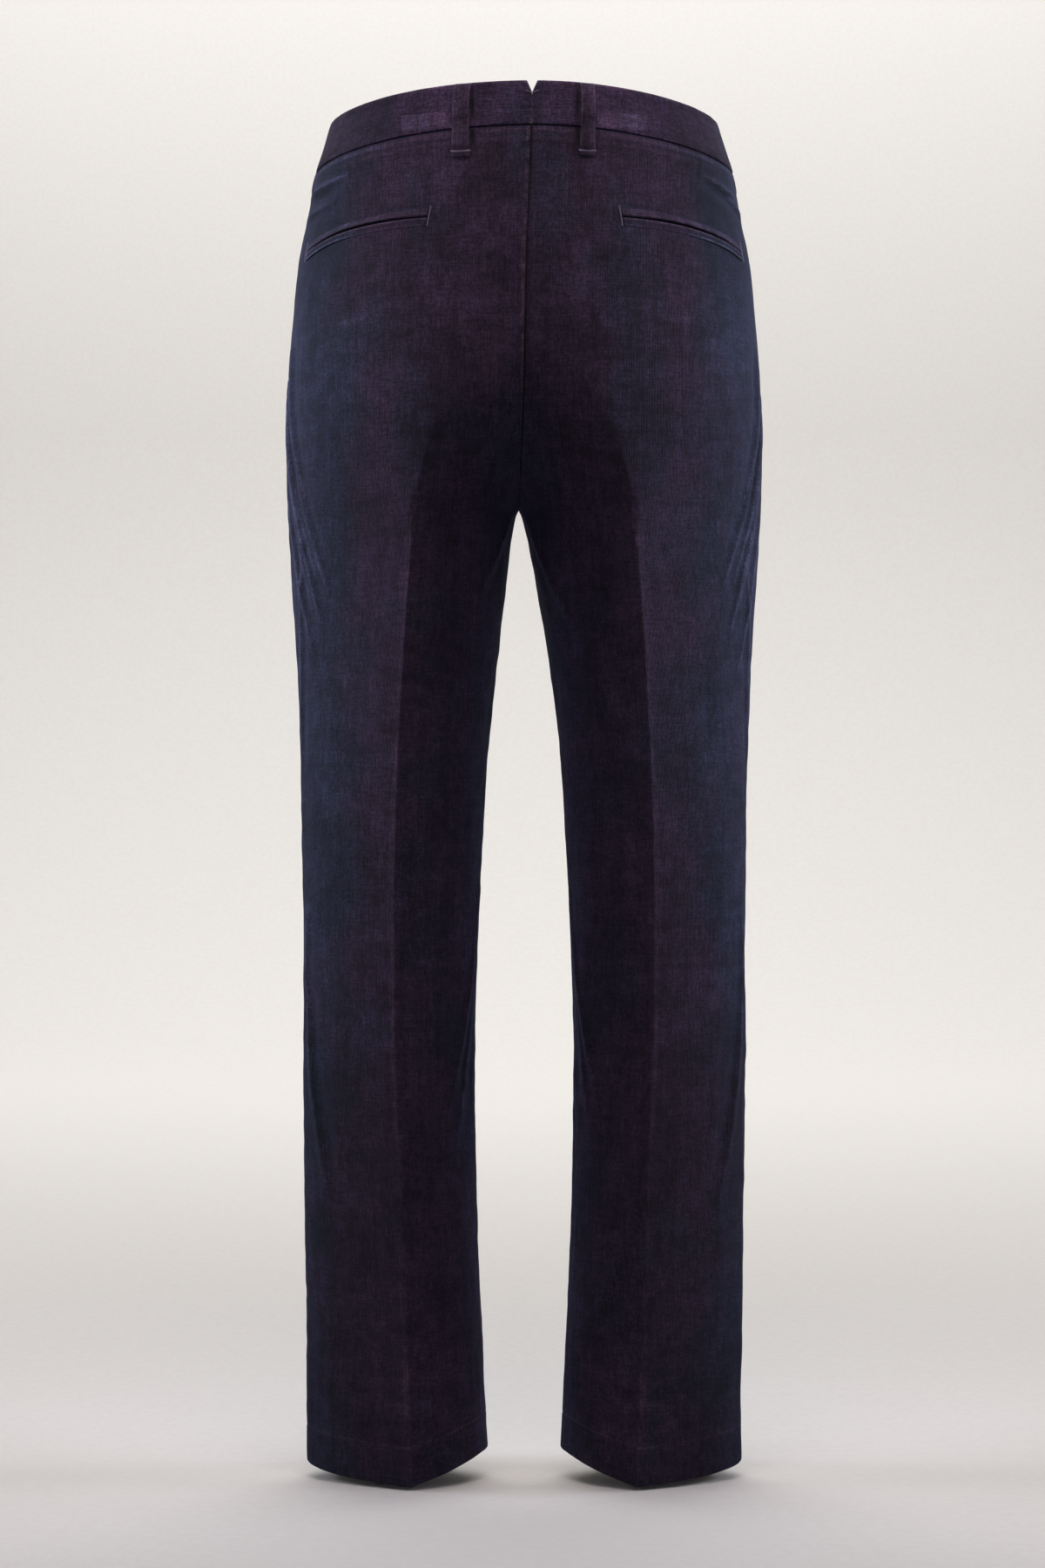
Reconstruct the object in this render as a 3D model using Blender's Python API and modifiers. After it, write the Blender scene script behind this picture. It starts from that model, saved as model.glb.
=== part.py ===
"""Corduroy trousers, filled out as if worn, at their real size in metres.

+Z is up, the back of the trousers faces +Y and the wearer's left is +X. The origin is where a wearer's waist
holds them up: the middle of the waist opening, level with the waistband's top edge at the sides. A drop is a
depth below it.

The cloth runs through level rings. Each leg has an oval ring with a pressed crease in front and behind. Above
the fork the two legs' ovals run into each other, and each is cut where it meets the centre plane, which gives
the curved seat seam behind and the fly seam in front. A turn is the angle round an oval, from the side seam
towards the inseam.
"""

import math
from collections import namedtuple
from functools import lru_cache

import bmesh
import bpy
from mathutils import Vector

BACK, FRONT = 1, -1
LEFT, RIGHT = 1, -1
SIDES = (("left", LEFT), ("right", RIGHT))
QUARTER = math.pi / 2

# Cloth
GAP = 0.0003  # between two pieces that meet at a seam or lie on each other
CLOTH = 0.0015  # wall of the panels
BAND = 0.0026  # waistband, folded and interfaced
BAND_PROUD = 0.0008  # how far the waistband stands out from the panels
WELT = 0.0012  # folded edge of a pocket
LOOP = 0.0018  # belt loop, folded in three

# Lengths
FORK = 0.3175  # drop of the fork, where the legs part
HEM = 1.0967  # drop of the hem, midway between its outer and inner edge
SEAM = 0.0403  # drop of the seam under the waistband, at the sides
SEAM_RISE = {BACK: 0.0181, FRONT: -0.0100}  # how much higher that seam is at the centre
TOP_RISE = {BACK: 0.0136, FRONT: -0.0100}  # the same for the waistband's top edge
RISE_POWER = 1.75
HEM_TILT = 0.0052  # the hem's outer edge is lower than its middle by this, and its inner edge higher
HEM_SLANT = {BACK: 0.0157, FRONT: -0.0040}  # how much lower the crease reaches than the hem's sides
WAIST_REACH = 0.16  # drop at which the cloth's rings are level again
HEM_REACH = 0.95  # drop from which the rings tilt towards the hem

# One row for each level: how far out the leg's oval reaches, where its inner edge is (past the centre plane
# above the fork), its depth behind and in front of the side seam, how sharp the crease is, how far the back
# crease leans inwards, and how far the whole centre line sits off the middle.
Section = namedtuple("Section", "drop outer inner back front crease lean sway")
SECTIONS = (
    Section(-0.020, 0.1552, -0.1552, 0.1105, 0.1110, 0.00, 0.0000, -0.0064),
    Section(0.000, 0.1592, -0.1592, 0.1120, 0.1125, 0.00, 0.0000, -0.0062),
    Section(0.018, 0.1645, -0.1645, 0.1145, 0.1135, 0.00, 0.0000, -0.0058),
    Section(0.040, 0.1714, -0.1706, 0.1190, 0.1150, 0.00, 0.0000, -0.0052),
    Section(0.076, 0.1782, -0.1720, 0.1245, 0.1165, 0.00, 0.0000, -0.0038),
    Section(0.112, 0.1854, -0.1690, 0.1295, 0.1175, 0.00, 0.0000, -0.0025),
    Section(0.150, 0.1896, -0.1590, 0.1330, 0.1178, 0.00, 0.0000, -0.0014),
    Section(0.190, 0.1930, -0.1370, 0.1345, 0.1170, 0.00, 0.0000, -0.0006),
    Section(0.227, 0.1951, -0.1000, 0.1335, 0.1150, 0.10, 0.0000, 0.0002),
    Section(0.260, 0.1961, -0.0600, 0.1295, 0.1125, 0.22, 0.0000, 0.0018),
    Section(0.290, 0.1960, -0.0240, 0.1235, 0.1092, 0.38, -0.0070, 0.0034),
    Section(0.3175, 0.1953, 0.0000, 0.1170, 0.1055, 0.50, -0.0115, 0.0043),
    Section(0.328, 0.1948, 0.0038, 0.1145, 0.1040, 0.54, -0.0120, 0.0043),
    Section(0.356, 0.1931, 0.0092, 0.1085, 0.1010, 0.60, -0.0119, 0.0034),
    Section(0.400, 0.1908, 0.0158, 0.1005, 0.0965, 0.64, -0.0100, 0.0022),
    Section(0.457, 0.1868, 0.0234, 0.0915, 0.0915, 0.65, -0.0080, 0.0008),
    Section(0.530, 0.1842, 0.0308, 0.0825, 0.0865, 0.65, -0.0060, 0.0000),
    Section(0.616, 0.1829, 0.0356, 0.0745, 0.0815, 0.65, -0.0052, 0.0000),
    Section(0.700, 0.1823, 0.0390, 0.0695, 0.0770, 0.65, -0.0062, 0.0000),
    Section(0.780, 0.1827, 0.0408, 0.0670, 0.0730, 0.65, -0.0088, 0.0000),
    Section(0.860, 0.1818, 0.0400, 0.0655, 0.0700, 0.65, -0.0112, 0.0000),
    Section(0.950, 0.1805, 0.0368, 0.0635, 0.0675, 0.65, -0.0122, 0.0000),
    Section(1.040, 0.1797, 0.0327, 0.0605, 0.0655, 0.65, -0.0124, 0.0000),
    Section(1.130, 0.1795, 0.0285, 0.0575, 0.0640, 0.65, -0.0128, 0.0000),
)
SWAY_REACH = 0.055  # how far from the centre line its shift is felt
CREASE_POWER = 0.7  # how flat the cloth runs from a crease towards the seams
FRONT_LEAN = -0.6  # the front crease leans outwards by this share of the back one's lean

# One row for each large fold: a soft ridge of the given half-width and height along a straight line from one
# drop and turn (in degrees) to another, dying away at both ends.
Fold = namedtuple("Fold", "face drop_a turn_a drop_b turn_b width height")
FOLDS = (
    Fold(BACK, 0.170, 8, 0.395, 54, 0.010, 0.0040),
    Fold(BACK, 0.225, 6, 0.420, 38, 0.009, 0.0034),
    Fold(BACK, 0.620, 176, 0.830, 134, 0.013, 0.0040),
    Fold(BACK, 0.600, 12, 0.920, 46, 0.013, 0.0040),
    Fold(FRONT, 0.195, 12, 0.380, 44, 0.011, 0.0036),
    Fold(FRONT, 0.325, 170, 0.460, 122, 0.012, 0.0038),
    Fold(FRONT, 0.620, 14, 0.880, 46, 0.013, 0.0038),
)
FOLD_RADIUS = 0.10  # metres of cloth for each radian of turn

# Waistband
NOTCH_DEPTH = 0.0098
NOTCH_HALF_WIDTH = 0.0042
UNDERLAP = 0.015  # how far each end of the waistband runs past the centre front
LIFT_FROM, LIFT_TO = 0.055, 0.022  # where the upper end rises over the lower one, from the centre front

# Belt loops: one row for each pair, with the side loops just in front of the side seam. It gives the turn of
# the left loop and of the right one, in degrees, and the lean, which is how much more turn the lower end has
# than the upper. The slack is where the loop stands off furthest. Each row of LOOP_STAND gives the share of the
# length from the top and how far the loop's back stands off the waistband there, with the slack high or low.
Loop = namedtuple("Loop", "name face turn_left turn_right lean length slack")
LOOPS = (
    Loop("back", BACK, 72.0, 73.7, 1.5, 0.059, "high"),
    Loop("side", FRONT, 17.0, 17.0, 0.0, 0.062, "low"),
    Loop("front", FRONT, 67.0, 67.0, 1.0, 0.058, "high"),
)
LOOP_WIDTH = 0.0132
LOOP_FROM_TOP = 0.0010
Stand = namedtuple("Stand", "along high low")
LOOP_STAND = (
    Stand(0.00, 0.0000, 0.0000),
    Stand(0.06, 0.0034, 0.0004),
    Stand(0.19, 0.0072, 0.0016),
    Stand(0.33, 0.0080, 0.0040),
    Stand(0.47, 0.0078, 0.0068),
    Stand(0.55, 0.0064, 0.0078),
    Stand(0.68, 0.0053, 0.0080),
    Stand(0.80, 0.0040, 0.0072),
    Stand(0.90, 0.0020, 0.0036),
    Stand(0.96, 0.0002, 0.0004),
    Stand(1.00, 0.0000, 0.0000),
)

# Double-welt back pockets: the slit's turn (in degrees) and drop at its inner and outer end
POCKET_TURN = (66.2, 19.2)
POCKET_DROP = 0.0957
POCKET_SAG = 0.0160
WELT_HEIGHT = 0.0070
SLIT = 0.0006

# Fly and button
FLY_PAST_CENTRE = 0.006
FLY_WIDTH = 0.038
FLY_STRAIGHT_TO = 0.150  # drop at which the flap's edge starts to curve in
FLY_END = 0.205
FLY_CLOTH = 0.0012
BUTTON_RADIUS = 0.0085
BUTTON_THICKNESS = 0.0030
BUTTON_RIM = 0.0012
BUTTON_HOLE_RADIUS = 0.0009
BUTTON_HOLE_SPACING = 0.0028
BUTTON_DROP = 0.0300
BUTTON_X = -0.0030

# Grid
BACK_COLUMNS = (11, 7)  # from the side seam to the crease, and on to the inseam
FRONT_COLUMNS = (9, 6)
ROWS_ABOVE_FORK, ROWS_BELOW_FORK = 16, 16

NAVY = (0.0137, 0.0119, 0.0262, 1.0)
BUTTON_BLACK = (0.0080, 0.0080, 0.0105, 1.0)


def smooth(t):
    """An even ramp from 0 to 1 that starts and ends level."""
    t = min(max(t, 0.0), 1.0)
    return t * t * (3 - 2 * t)


@lru_cache(maxsize=None)
def section_at(drop):
    """Every column of SECTIONS at this drop, on smooth curves through the rows."""
    last = len(SECTIONS) - 2
    i = min(max(sum(row.drop <= drop for row in SECTIONS) - 1, 0), last)
    a, b = SECTIONS[i], SECTIONS[i + 1]
    before, after = SECTIONS[max(i - 1, 0)], SECTIONS[min(i + 2, last + 1)]
    span = b.drop - a.drop
    t = (drop - a.drop) / span
    values = []
    for p, q, r, s in zip(before, a, b, after):
        rise_a = (r - p) / (b.drop - before.drop) * span
        rise_b = (s - q) / (after.drop - a.drop) * span
        values.append(
            (2 * t**3 - 3 * t**2 + 1) * q
            + (t**3 - 2 * t**2 + t) * rise_a
            + (3 * t**2 - 2 * t**3) * r
            + (t**3 - t**2) * rise_b
        )
    return Section(*values)


def end_turn(drop):
    """The turn at which the cloth meets the seat or fly seam, or the inseam below the fork."""
    s = section_at(drop)
    middle, half = (s.outer + s.inner) / 2, (s.outer - s.inner) / 2
    return math.acos(max(-middle / half, -1.0))


def bulge(turn, crease):
    """Depth of the oval at this turn, from 0 at the seams to 1 at the crease."""
    across = abs(math.cos(turn))
    return (1 - crease) * math.sin(turn) + crease * (1 - across) ** CREASE_POWER


def ring(face, turn, drop):
    """A point of the right-hand (+X) leg's oval."""
    s = section_at(drop)
    middle, half = (s.outer + s.inner) / 2, (s.outer - s.inner) / 2
    across = math.cos(turn)
    end = math.cos(end_turn(drop))
    lean = s.lean if face == BACK else s.lean * FRONT_LEAN
    leaning = 0.0
    if lean:
        leaning = lean * (1 - across) * (across - end) / -end
    depth = s.back if face == BACK else s.front
    x = middle + half * across + leaning
    return Vector((x, face * depth * bulge(turn, s.crease), -drop))


def outward(face, turn, drop):
    """The oval's outward direction, from points a little to each side that stay on this face."""
    step_turn, step_drop = math.radians(0.6), 0.0008
    before, after = max(turn - step_turn, 0.0), min(turn + step_turn, math.pi)
    round_it = ring(face, after, drop) - ring(face, before, drop)
    up_it = ring(face, turn, drop - step_drop) - ring(face, turn, drop + step_drop)
    return (round_it.cross(up_it) * face).normalized()


def fold_height(face, turn, drop):
    total = 0.0
    for fold in FOLDS:
        if fold.face != face:
            continue
        a = Vector((math.radians(fold.turn_a) * FOLD_RADIUS, fold.drop_a))
        b = Vector((math.radians(fold.turn_b) * FOLD_RADIUS, fold.drop_b))
        here = Vector((turn * FOLD_RADIUS, drop))
        along = (here - a).dot(b - a) / (b - a).length_squared
        along = min(max(along, 0.0), 1.0)
        away = (here - a.lerp(b, along)).length / fold.width
        total += fold.height * math.sin(math.pi * along) * math.exp(-(away**2))
    return total


def sway(point):
    """The centre line shifted off the middle, with the outer sides left where they are."""
    shift = section_at(-point.z).sway * math.exp(-((point.x / SWAY_REACH) ** 2))
    return point + Vector((shift, 0, 0))


def waist_lift(face, turn, side_drop):
    """How much higher a ring runs here than at the side, under the waistband's seam."""
    rise = SEAM_RISE[face] * math.sin(min(turn, QUARTER)) ** RISE_POWER
    return rise * (1 - smooth((side_drop - SEAM) / (WAIST_REACH - SEAM)))


def hem_fall(face, turn, side_drop):
    """How much lower a ring runs here, near the hem."""
    across = math.cos(turn)
    crease = bulge(turn, SECTIONS[-1].crease)
    if face == BACK and across < 0:
        crease **= 2
    fall = HEM_TILT * across + HEM_SLANT[face] * crease
    return fall * smooth((side_drop - HEM_REACH) / (HEM - HEM_REACH))


def cloth_point(side, face, turn, drop, out, keep_seams=True):
    """A point of the cloth, this far out from the oval, kept on its own side of the seams."""
    point = ring(face, turn, drop) + outward(face, turn, drop) * out
    if keep_seams:
        point.x = max(point.x, GAP / 2)
        point.y = face * max(face * point.y, GAP / 2)
    point.x *= side
    return sway(point)


def material(name, colour, roughness):
    made = bpy.data.materials.new(name)
    made.use_nodes = True
    shader = made.node_tree.nodes["Principled BSDF"]
    shader.inputs["Base Color"].default_value = colour
    shader.inputs["Roughness"].default_value = roughness
    return made


def add_object(name, mesh, finish, collection):
    made = bpy.data.objects.new(name, mesh)
    mesh.materials.append(finish)
    collection.objects.link(made)
    return made


def cloth_wall(name, outer, inner, finish, collection):
    """A closed wall between two grids of points, each a list of rows from top to bottom."""
    bm = bmesh.new()
    walls = [[[bm.verts.new(p) for p in row] for row in grid] for grid in (outer, inner)]
    rows, columns = len(outer) - 1, len(outer[0]) - 1
    for wall in walls:
        for i in range(rows):
            for j in range(columns):
                bm.faces.new((wall[i][j], wall[i][j + 1], wall[i + 1][j + 1], wall[i + 1][j]))
    rim = [(0, j) for j in range(columns)]
    rim += [(i, columns) for i in range(rows)]
    rim += [(rows, j) for j in range(columns, 0, -1)]
    rim += [(i, 0) for i in range(rows, 0, -1)]
    for here, there in zip(rim, rim[1:] + rim[:1]):
        edge = [walls[0][here[0]][here[1]], walls[0][there[0]][there[1]]]
        edge += [walls[1][there[0]][there[1]], walls[1][here[0]][here[1]]]
        bm.faces.new(edge)
    bmesh.ops.recalc_face_normals(bm, faces=bm.faces)
    mesh = bpy.data.meshes.new(name)
    bm.to_mesh(mesh)
    bm.free()
    mesh.shade_smooth()
    mesh.set_sharp_from_angle(angle=math.radians(40))
    return add_object(name, mesh, finish, collection)


def ladder():
    """The rings' drops at the sides, close together near the fork, where the cloth bends most."""
    above = [
        SEAM + (FORK - SEAM) * math.sin(QUARTER * i / ROWS_ABOVE_FORK)
        for i in range(ROWS_ABOVE_FORK)
    ]
    below = [
        FORK + (HEM - FORK) * (1 - math.cos(QUARTER * i / ROWS_BELOW_FORK))
        for i in range(ROWS_BELOW_FORK + 1)
    ]
    return above + below


def column_turn(share, drop):
    """The turn of a grid line, by its share of the way round: 0 side seam, 0.5 crease, 1 centre or inseam."""
    end = end_turn(drop)
    settled = smooth((drop - SEAM) / 0.16)
    crease = end / 2 + (QUARTER - end / 2) * settled
    if share <= 0.5:
        return crease * share * 2
    return crease + (end - crease) * (share - 0.5) * 2


def shares(columns):
    to_crease, to_inseam = columns
    first = [0.5 * i / to_crease for i in range(to_crease)]
    return first + [0.5 + 0.5 * i / to_inseam for i in range(to_inseam + 1)]


def panel(name, side, face, finish, collection):
    """Half of the front or back, with its leg, from the waistband's seam to the hem."""
    grids = []
    for out in (0.0, -CLOTH):
        grid = []
        for side_drop in ladder():
            row = []
            for share in shares(BACK_COLUMNS if face == BACK else FRONT_COLUMNS):
                turn = column_turn(share, side_drop)
                drop = side_drop - waist_lift(face, turn, side_drop) + hem_fall(face, turn, side_drop)
                if side_drop == SEAM:
                    drop += GAP / 2
                if side_drop < FORK:
                    turn = min(turn, end_turn(drop))
                relief = fold_height(face, turn, drop)
                row.append(cloth_point(side, face, turn, drop, out + relief))
            grid.append(row)
        grids.append(grid)
    return cloth_wall(name, *grids, finish, collection)


def band_drops(face, turn):
    """The waistband's lower and upper edge at this turn."""
    rise = math.sin(turn) ** RISE_POWER
    return SEAM - SEAM_RISE[face] * rise - GAP / 2, -TOP_RISE[face] * rise


def band_lift(side, x):
    """How far the waistband's upper (wearer's left) end rises over the lower, at this far from the centre."""
    if side == RIGHT:
        return 0.0
    return (BAND + 2 * GAP) * smooth((LIFT_FROM - x) / (LIFT_FROM - LIFT_TO))


def band_turns():
    """Angles from the centre back (90) round the side (0) to past the centre front (-90), in radians."""
    behind = [column_turn(share, SEAM) for share in shares(BACK_COLUMNS)]
    ahead = [column_turn(share, SEAM) for share in shares(FRONT_COLUMNS)]
    lap = math.asin(UNDERLAP / section_at(SEAM).outer)
    return behind[::-1] + [-turn for turn in ahead[1:]] + [-QUARTER - lap * 0.5, -QUARTER - lap]


def band_point(side, angle, share, out):
    """A point of the waistband, by the share of its height from the top."""
    face = BACK if angle >= 0 else FRONT
    turn = abs(angle)
    low, high = band_drops(face, min(turn, QUARTER))
    drop = high + (low - high) * share
    x = section_at(drop).outer * math.cos(turn)
    if face == FRONT:
        out += band_lift(side, x)
    point = ring(face, turn, drop) + outward(face, turn, drop) * (BAND_PROUD + out)
    if face == BACK:
        notch = NOTCH_HALF_WIDTH * (1 - (drop - high) / NOTCH_DEPTH)
        point.x = max(point.x, GAP / 2, notch)
    point.x *= side
    return sway(point)


def waistband(name, side, finish, collection):
    tip = NOTCH_DEPTH / (band_drops(BACK, QUARTER)[0] - band_drops(BACK, QUARTER)[1])
    heights = (0.0, tip, (1 + tip) / 2, 1.0)
    grids = [
        [[band_point(side, angle, share, out) for angle in band_turns()] for share in heights]
        for out in (0.0, -BAND)
    ]
    return cloth_wall(name, *grids, finish, collection)


def belt_loop(name, side, loop, finish, collection):
    """A strip that stands off the waistband, for a belt, and is tacked down at both ends."""
    turn = math.radians(loop.turn_left if side == LEFT else loop.turn_right)
    top = band_drops(loop.face, turn)[1] + LOOP_FROM_TOP
    here = ring(loop.face, turn + 0.01, SEAM) - ring(loop.face, turn - 0.01, SEAM)
    half_angle = LOOP_WIDTH / 2 / (here.length / 0.02)
    grids = []
    for thickness in (LOOP, 0.0):
        grid = []
        for stand in LOOP_STAND:
            drop = top + stand.along * loop.length
            out = BAND_PROUD + GAP + getattr(stand, loop.slack) + thickness
            middle = turn + math.radians(loop.lean) * (stand.along - 0.5)
            turns = (middle - half_angle, middle, middle + half_angle)
            grid.append([cloth_point(side, loop.face, t, drop, out, keep_seams=False) for t in turns])
        grids.append(grid)
    return cloth_wall(name, *grids, finish, collection)


def pocket_welt(name, side, direction, finish, collection):
    """One lip of a back pocket, above (-1) or below (1) the slit, laid on the panel."""
    steps = 16
    grids = []
    for out in (GAP + WELT, GAP):
        grid = []
        for height in (SLIT / 2, SLIT / 2 + WELT_HEIGHT / 2, SLIT / 2 + WELT_HEIGHT):
            row = []
            for i in range(steps + 1):
                share = i / steps
                turn = math.radians(POCKET_TURN[0] + (POCKET_TURN[1] - POCKET_TURN[0]) * share)
                drop = POCKET_DROP + POCKET_SAG * share**2 + direction * height
                row.append(cloth_point(side, BACK, turn, drop, out))
            grid.append(row)
        grids.append(grid)
    return cloth_wall(name, *grids, finish, collection)


def front_at(x, drop, out):
    """A point this far out from the front panels, at a distance x to the wearer's left of the fly seam."""
    s = section_at(drop)
    middle, half = (s.outer + s.inner) / 2, (s.outer - s.inner) / 2
    turn = math.acos((abs(x) - middle) / half)
    return cloth_point(LEFT if x >= 0 else RIGHT, FRONT, turn, drop, out, keep_seams=False)


def fly_flap(finish, collection):
    """The flap over the fly, straight down the centre and curved in at its lower end."""
    rows, columns = 12, 6
    grids = []
    for out in (GAP + FLY_CLOTH, GAP):
        grid = []
        for i in range(rows + 1):
            row = []
            for j in range(columns + 1):
                side_drop = SEAM + (FLY_END - SEAM) * i / rows
                curve = max((side_drop - FLY_STRAIGHT_TO) / (FLY_END + 0.004 - FLY_STRAIGHT_TO), 0.0)
                width = (FLY_PAST_CENTRE + FLY_WIDTH) * math.sqrt(1 - curve**2)
                x = width * j / columns - FLY_PAST_CENTRE
                drop = side_drop - waist_lift(FRONT, QUARTER, side_drop)
                if i == 0:
                    drop += 2 * GAP
                row.append(front_at(x, drop, out))
            grid.append(row)
        grids.append(grid)
    return cloth_wall("fly_flap", *grids, finish, collection)


def front_button(finish, collection, cutters):
    """A four-hole button with a raised rim, on the waistband's upper end."""
    face_height = BUTTON_THICKNESS - 0.0007
    profile = (
        (0.0, face_height),
        (BUTTON_RADIUS - 2 * BUTTON_RIM, face_height),
        (BUTTON_RADIUS - BUTTON_RIM, BUTTON_THICKNESS),
        (BUTTON_RADIUS - 0.0003, BUTTON_THICKNESS - 0.0004),
        (BUTTON_RADIUS, BUTTON_THICKNESS / 2),
        (BUTTON_RADIUS - 0.0008, 0.0),
        (0.0, 0.0),
    )
    mesh = bpy.data.meshes.new("front_button")
    edges = [(i, i + 1) for i in range(len(profile) - 1)]
    mesh.from_pydata([(r, 0, z) for r, z in profile], edges, [])
    button = add_object("front_button", mesh, finish, collection)
    turned = button.modifiers.new("turned", "SCREW")
    turned.steps = turned.render_steps = 24
    turned.use_merge_vertices = True
    turned.merge_threshold = 0.00001
    around = [band_height_at(BUTTON_X + BUTTON_RADIUS * i / 2) for i in (-2, -1, 0, 1, 2)]
    button.location = (BUTTON_X, -(max(around) + GAP), -BUTTON_DROP)
    button.rotation_euler = (QUARTER, 0, 0)
    for across in (-1, 1):
        for up in (-1, 1):
            hole_mesh = bpy.data.meshes.new("button_hole")
            bm = bmesh.new()
            bmesh.ops.create_cone(
                bm,
                cap_ends=True,
                segments=10,
                radius1=BUTTON_HOLE_RADIUS,
                radius2=BUTTON_HOLE_RADIUS,
                depth=4 * BUTTON_THICKNESS,
            )
            bm.to_mesh(hole_mesh)
            bm.free()
            hole = bpy.data.objects.new("button_hole", hole_mesh)
            cutters.objects.link(hole)
            spot = Vector((across, up, 0)) * BUTTON_HOLE_SPACING / 2
            hole.parent = button
            hole.location = spot
            hole.hide_render = True
            hole.display_type = "WIRE"
            cut = button.modifiers.new("hole", "BOOLEAN")
            cut.object = hole
    return button


def band_height_at(x):
    """How far forward the waistband's upper end reaches at this x."""
    angle = -QUARTER + math.asin(x / section_at(BUTTON_DROP).outer)
    return -min(band_point(LEFT, angle, share, 0.0).y for share in (0.3, 0.5, 0.7))


def main():
    for old in list(bpy.data.objects):
        bpy.data.objects.remove(old)
    trousers = bpy.data.collections.new("corduroy_trousers")
    cutters = bpy.data.collections.new("cutters")
    for made in (trousers, cutters):
        bpy.context.scene.collection.children.link(made)
    corduroy = material("navy_corduroy", NAVY, 0.9)
    button_plastic = material("button_polyester", BUTTON_BLACK, 0.35)
    for word, side in SIDES:
        panel(f"back_{word}", side, BACK, corduroy, trousers)
        panel(f"front_{word}", side, FRONT, corduroy, trousers)
        waistband(f"waistband_{word}", side, corduroy, trousers)
        for loop in LOOPS:
            belt_loop(f"belt_loop_{loop.name}_{word}", side, loop, corduroy, trousers)
        pocket_welt(f"pocket_welt_upper_{word}", side, -1, corduroy, trousers)
        pocket_welt(f"pocket_welt_lower_{word}", side, 1, corduroy, trousers)
    fly_flap(corduroy, trousers)
    front_button(button_plastic, trousers, cutters)


main()
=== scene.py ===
"""A pair of dark navy needlecord trousers, filled out as if worn, seen from behind in a pale studio.

Everything is in metres. +Z is up, the back of the trousers faces +Y and the wearer's left is +X. A drop
is a depth below the waistband's top edge at the sides. A turn is the angle round a leg's oval, from the
side seam (0) over the pressed crease (90 degrees) to the inseam. A share runs from 0 to 1.
"""

import math
from collections import namedtuple

import bpy
import numpy as np
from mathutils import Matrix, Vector, noise


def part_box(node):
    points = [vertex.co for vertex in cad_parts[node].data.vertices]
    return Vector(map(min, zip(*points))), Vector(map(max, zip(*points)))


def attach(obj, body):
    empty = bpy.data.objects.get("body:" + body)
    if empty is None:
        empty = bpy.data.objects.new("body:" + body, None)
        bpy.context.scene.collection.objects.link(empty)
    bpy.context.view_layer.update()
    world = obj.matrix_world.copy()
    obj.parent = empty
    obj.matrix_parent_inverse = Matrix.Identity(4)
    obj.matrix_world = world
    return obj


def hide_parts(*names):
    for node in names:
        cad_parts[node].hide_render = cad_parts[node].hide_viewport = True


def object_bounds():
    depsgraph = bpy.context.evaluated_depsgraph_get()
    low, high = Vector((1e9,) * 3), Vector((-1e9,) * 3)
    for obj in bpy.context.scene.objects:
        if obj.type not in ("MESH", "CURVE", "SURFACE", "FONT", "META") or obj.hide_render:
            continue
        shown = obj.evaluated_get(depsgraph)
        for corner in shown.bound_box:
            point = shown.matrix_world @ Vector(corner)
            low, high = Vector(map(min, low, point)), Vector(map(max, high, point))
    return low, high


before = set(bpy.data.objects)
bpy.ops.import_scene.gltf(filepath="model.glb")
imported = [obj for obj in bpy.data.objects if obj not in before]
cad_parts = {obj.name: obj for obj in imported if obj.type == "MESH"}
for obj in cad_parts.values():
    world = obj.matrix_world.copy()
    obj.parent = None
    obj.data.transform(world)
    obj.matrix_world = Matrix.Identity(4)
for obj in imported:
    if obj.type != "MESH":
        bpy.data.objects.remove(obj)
CAD_BOX = [list(corner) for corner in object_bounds()]

BACK, FRONT = 1, -1
LEFT, RIGHT = 1, -1
SIDES = (("left", LEFT), ("right", RIGHT))
QUARTER = math.pi / 2


def table(columns, *rows):
    """Rows with these named columns."""
    return tuple(columns(*row) for row in rows)


# ---------------------------------------------------------------- sizes
GAP = 0.0003  # between pieces
CLOTH = 0.0015
HEM_CLOTH = 0.0030  # the turned-up hem
BAND = 0.0026
BAND_PROUD = 0.0008  # how far the waistband stands out from the panels
BAND_HEIGHT = 0.038
FORK = 0.3175
HEM = 1.0967
SEAM = 0.0403  # the waistband's lower edge at the sides
SEAM_RISE = {BACK: 0.0181, FRONT: -0.0100}  # towards the centre back and front
TOP_RISE = {BACK: 0.0136, FRONT: -0.0100}
RISE_POWER = 1.75
HEM_TILT = 0.0052
HEM_SLANT = {BACK: 0.0157, FRONT: -0.0040}
WAIST_REACH = 0.16  # the drop down to which the panels follow the waistband's slope
HEM_REACH = 0.95  # and from which they follow the hem's

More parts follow.
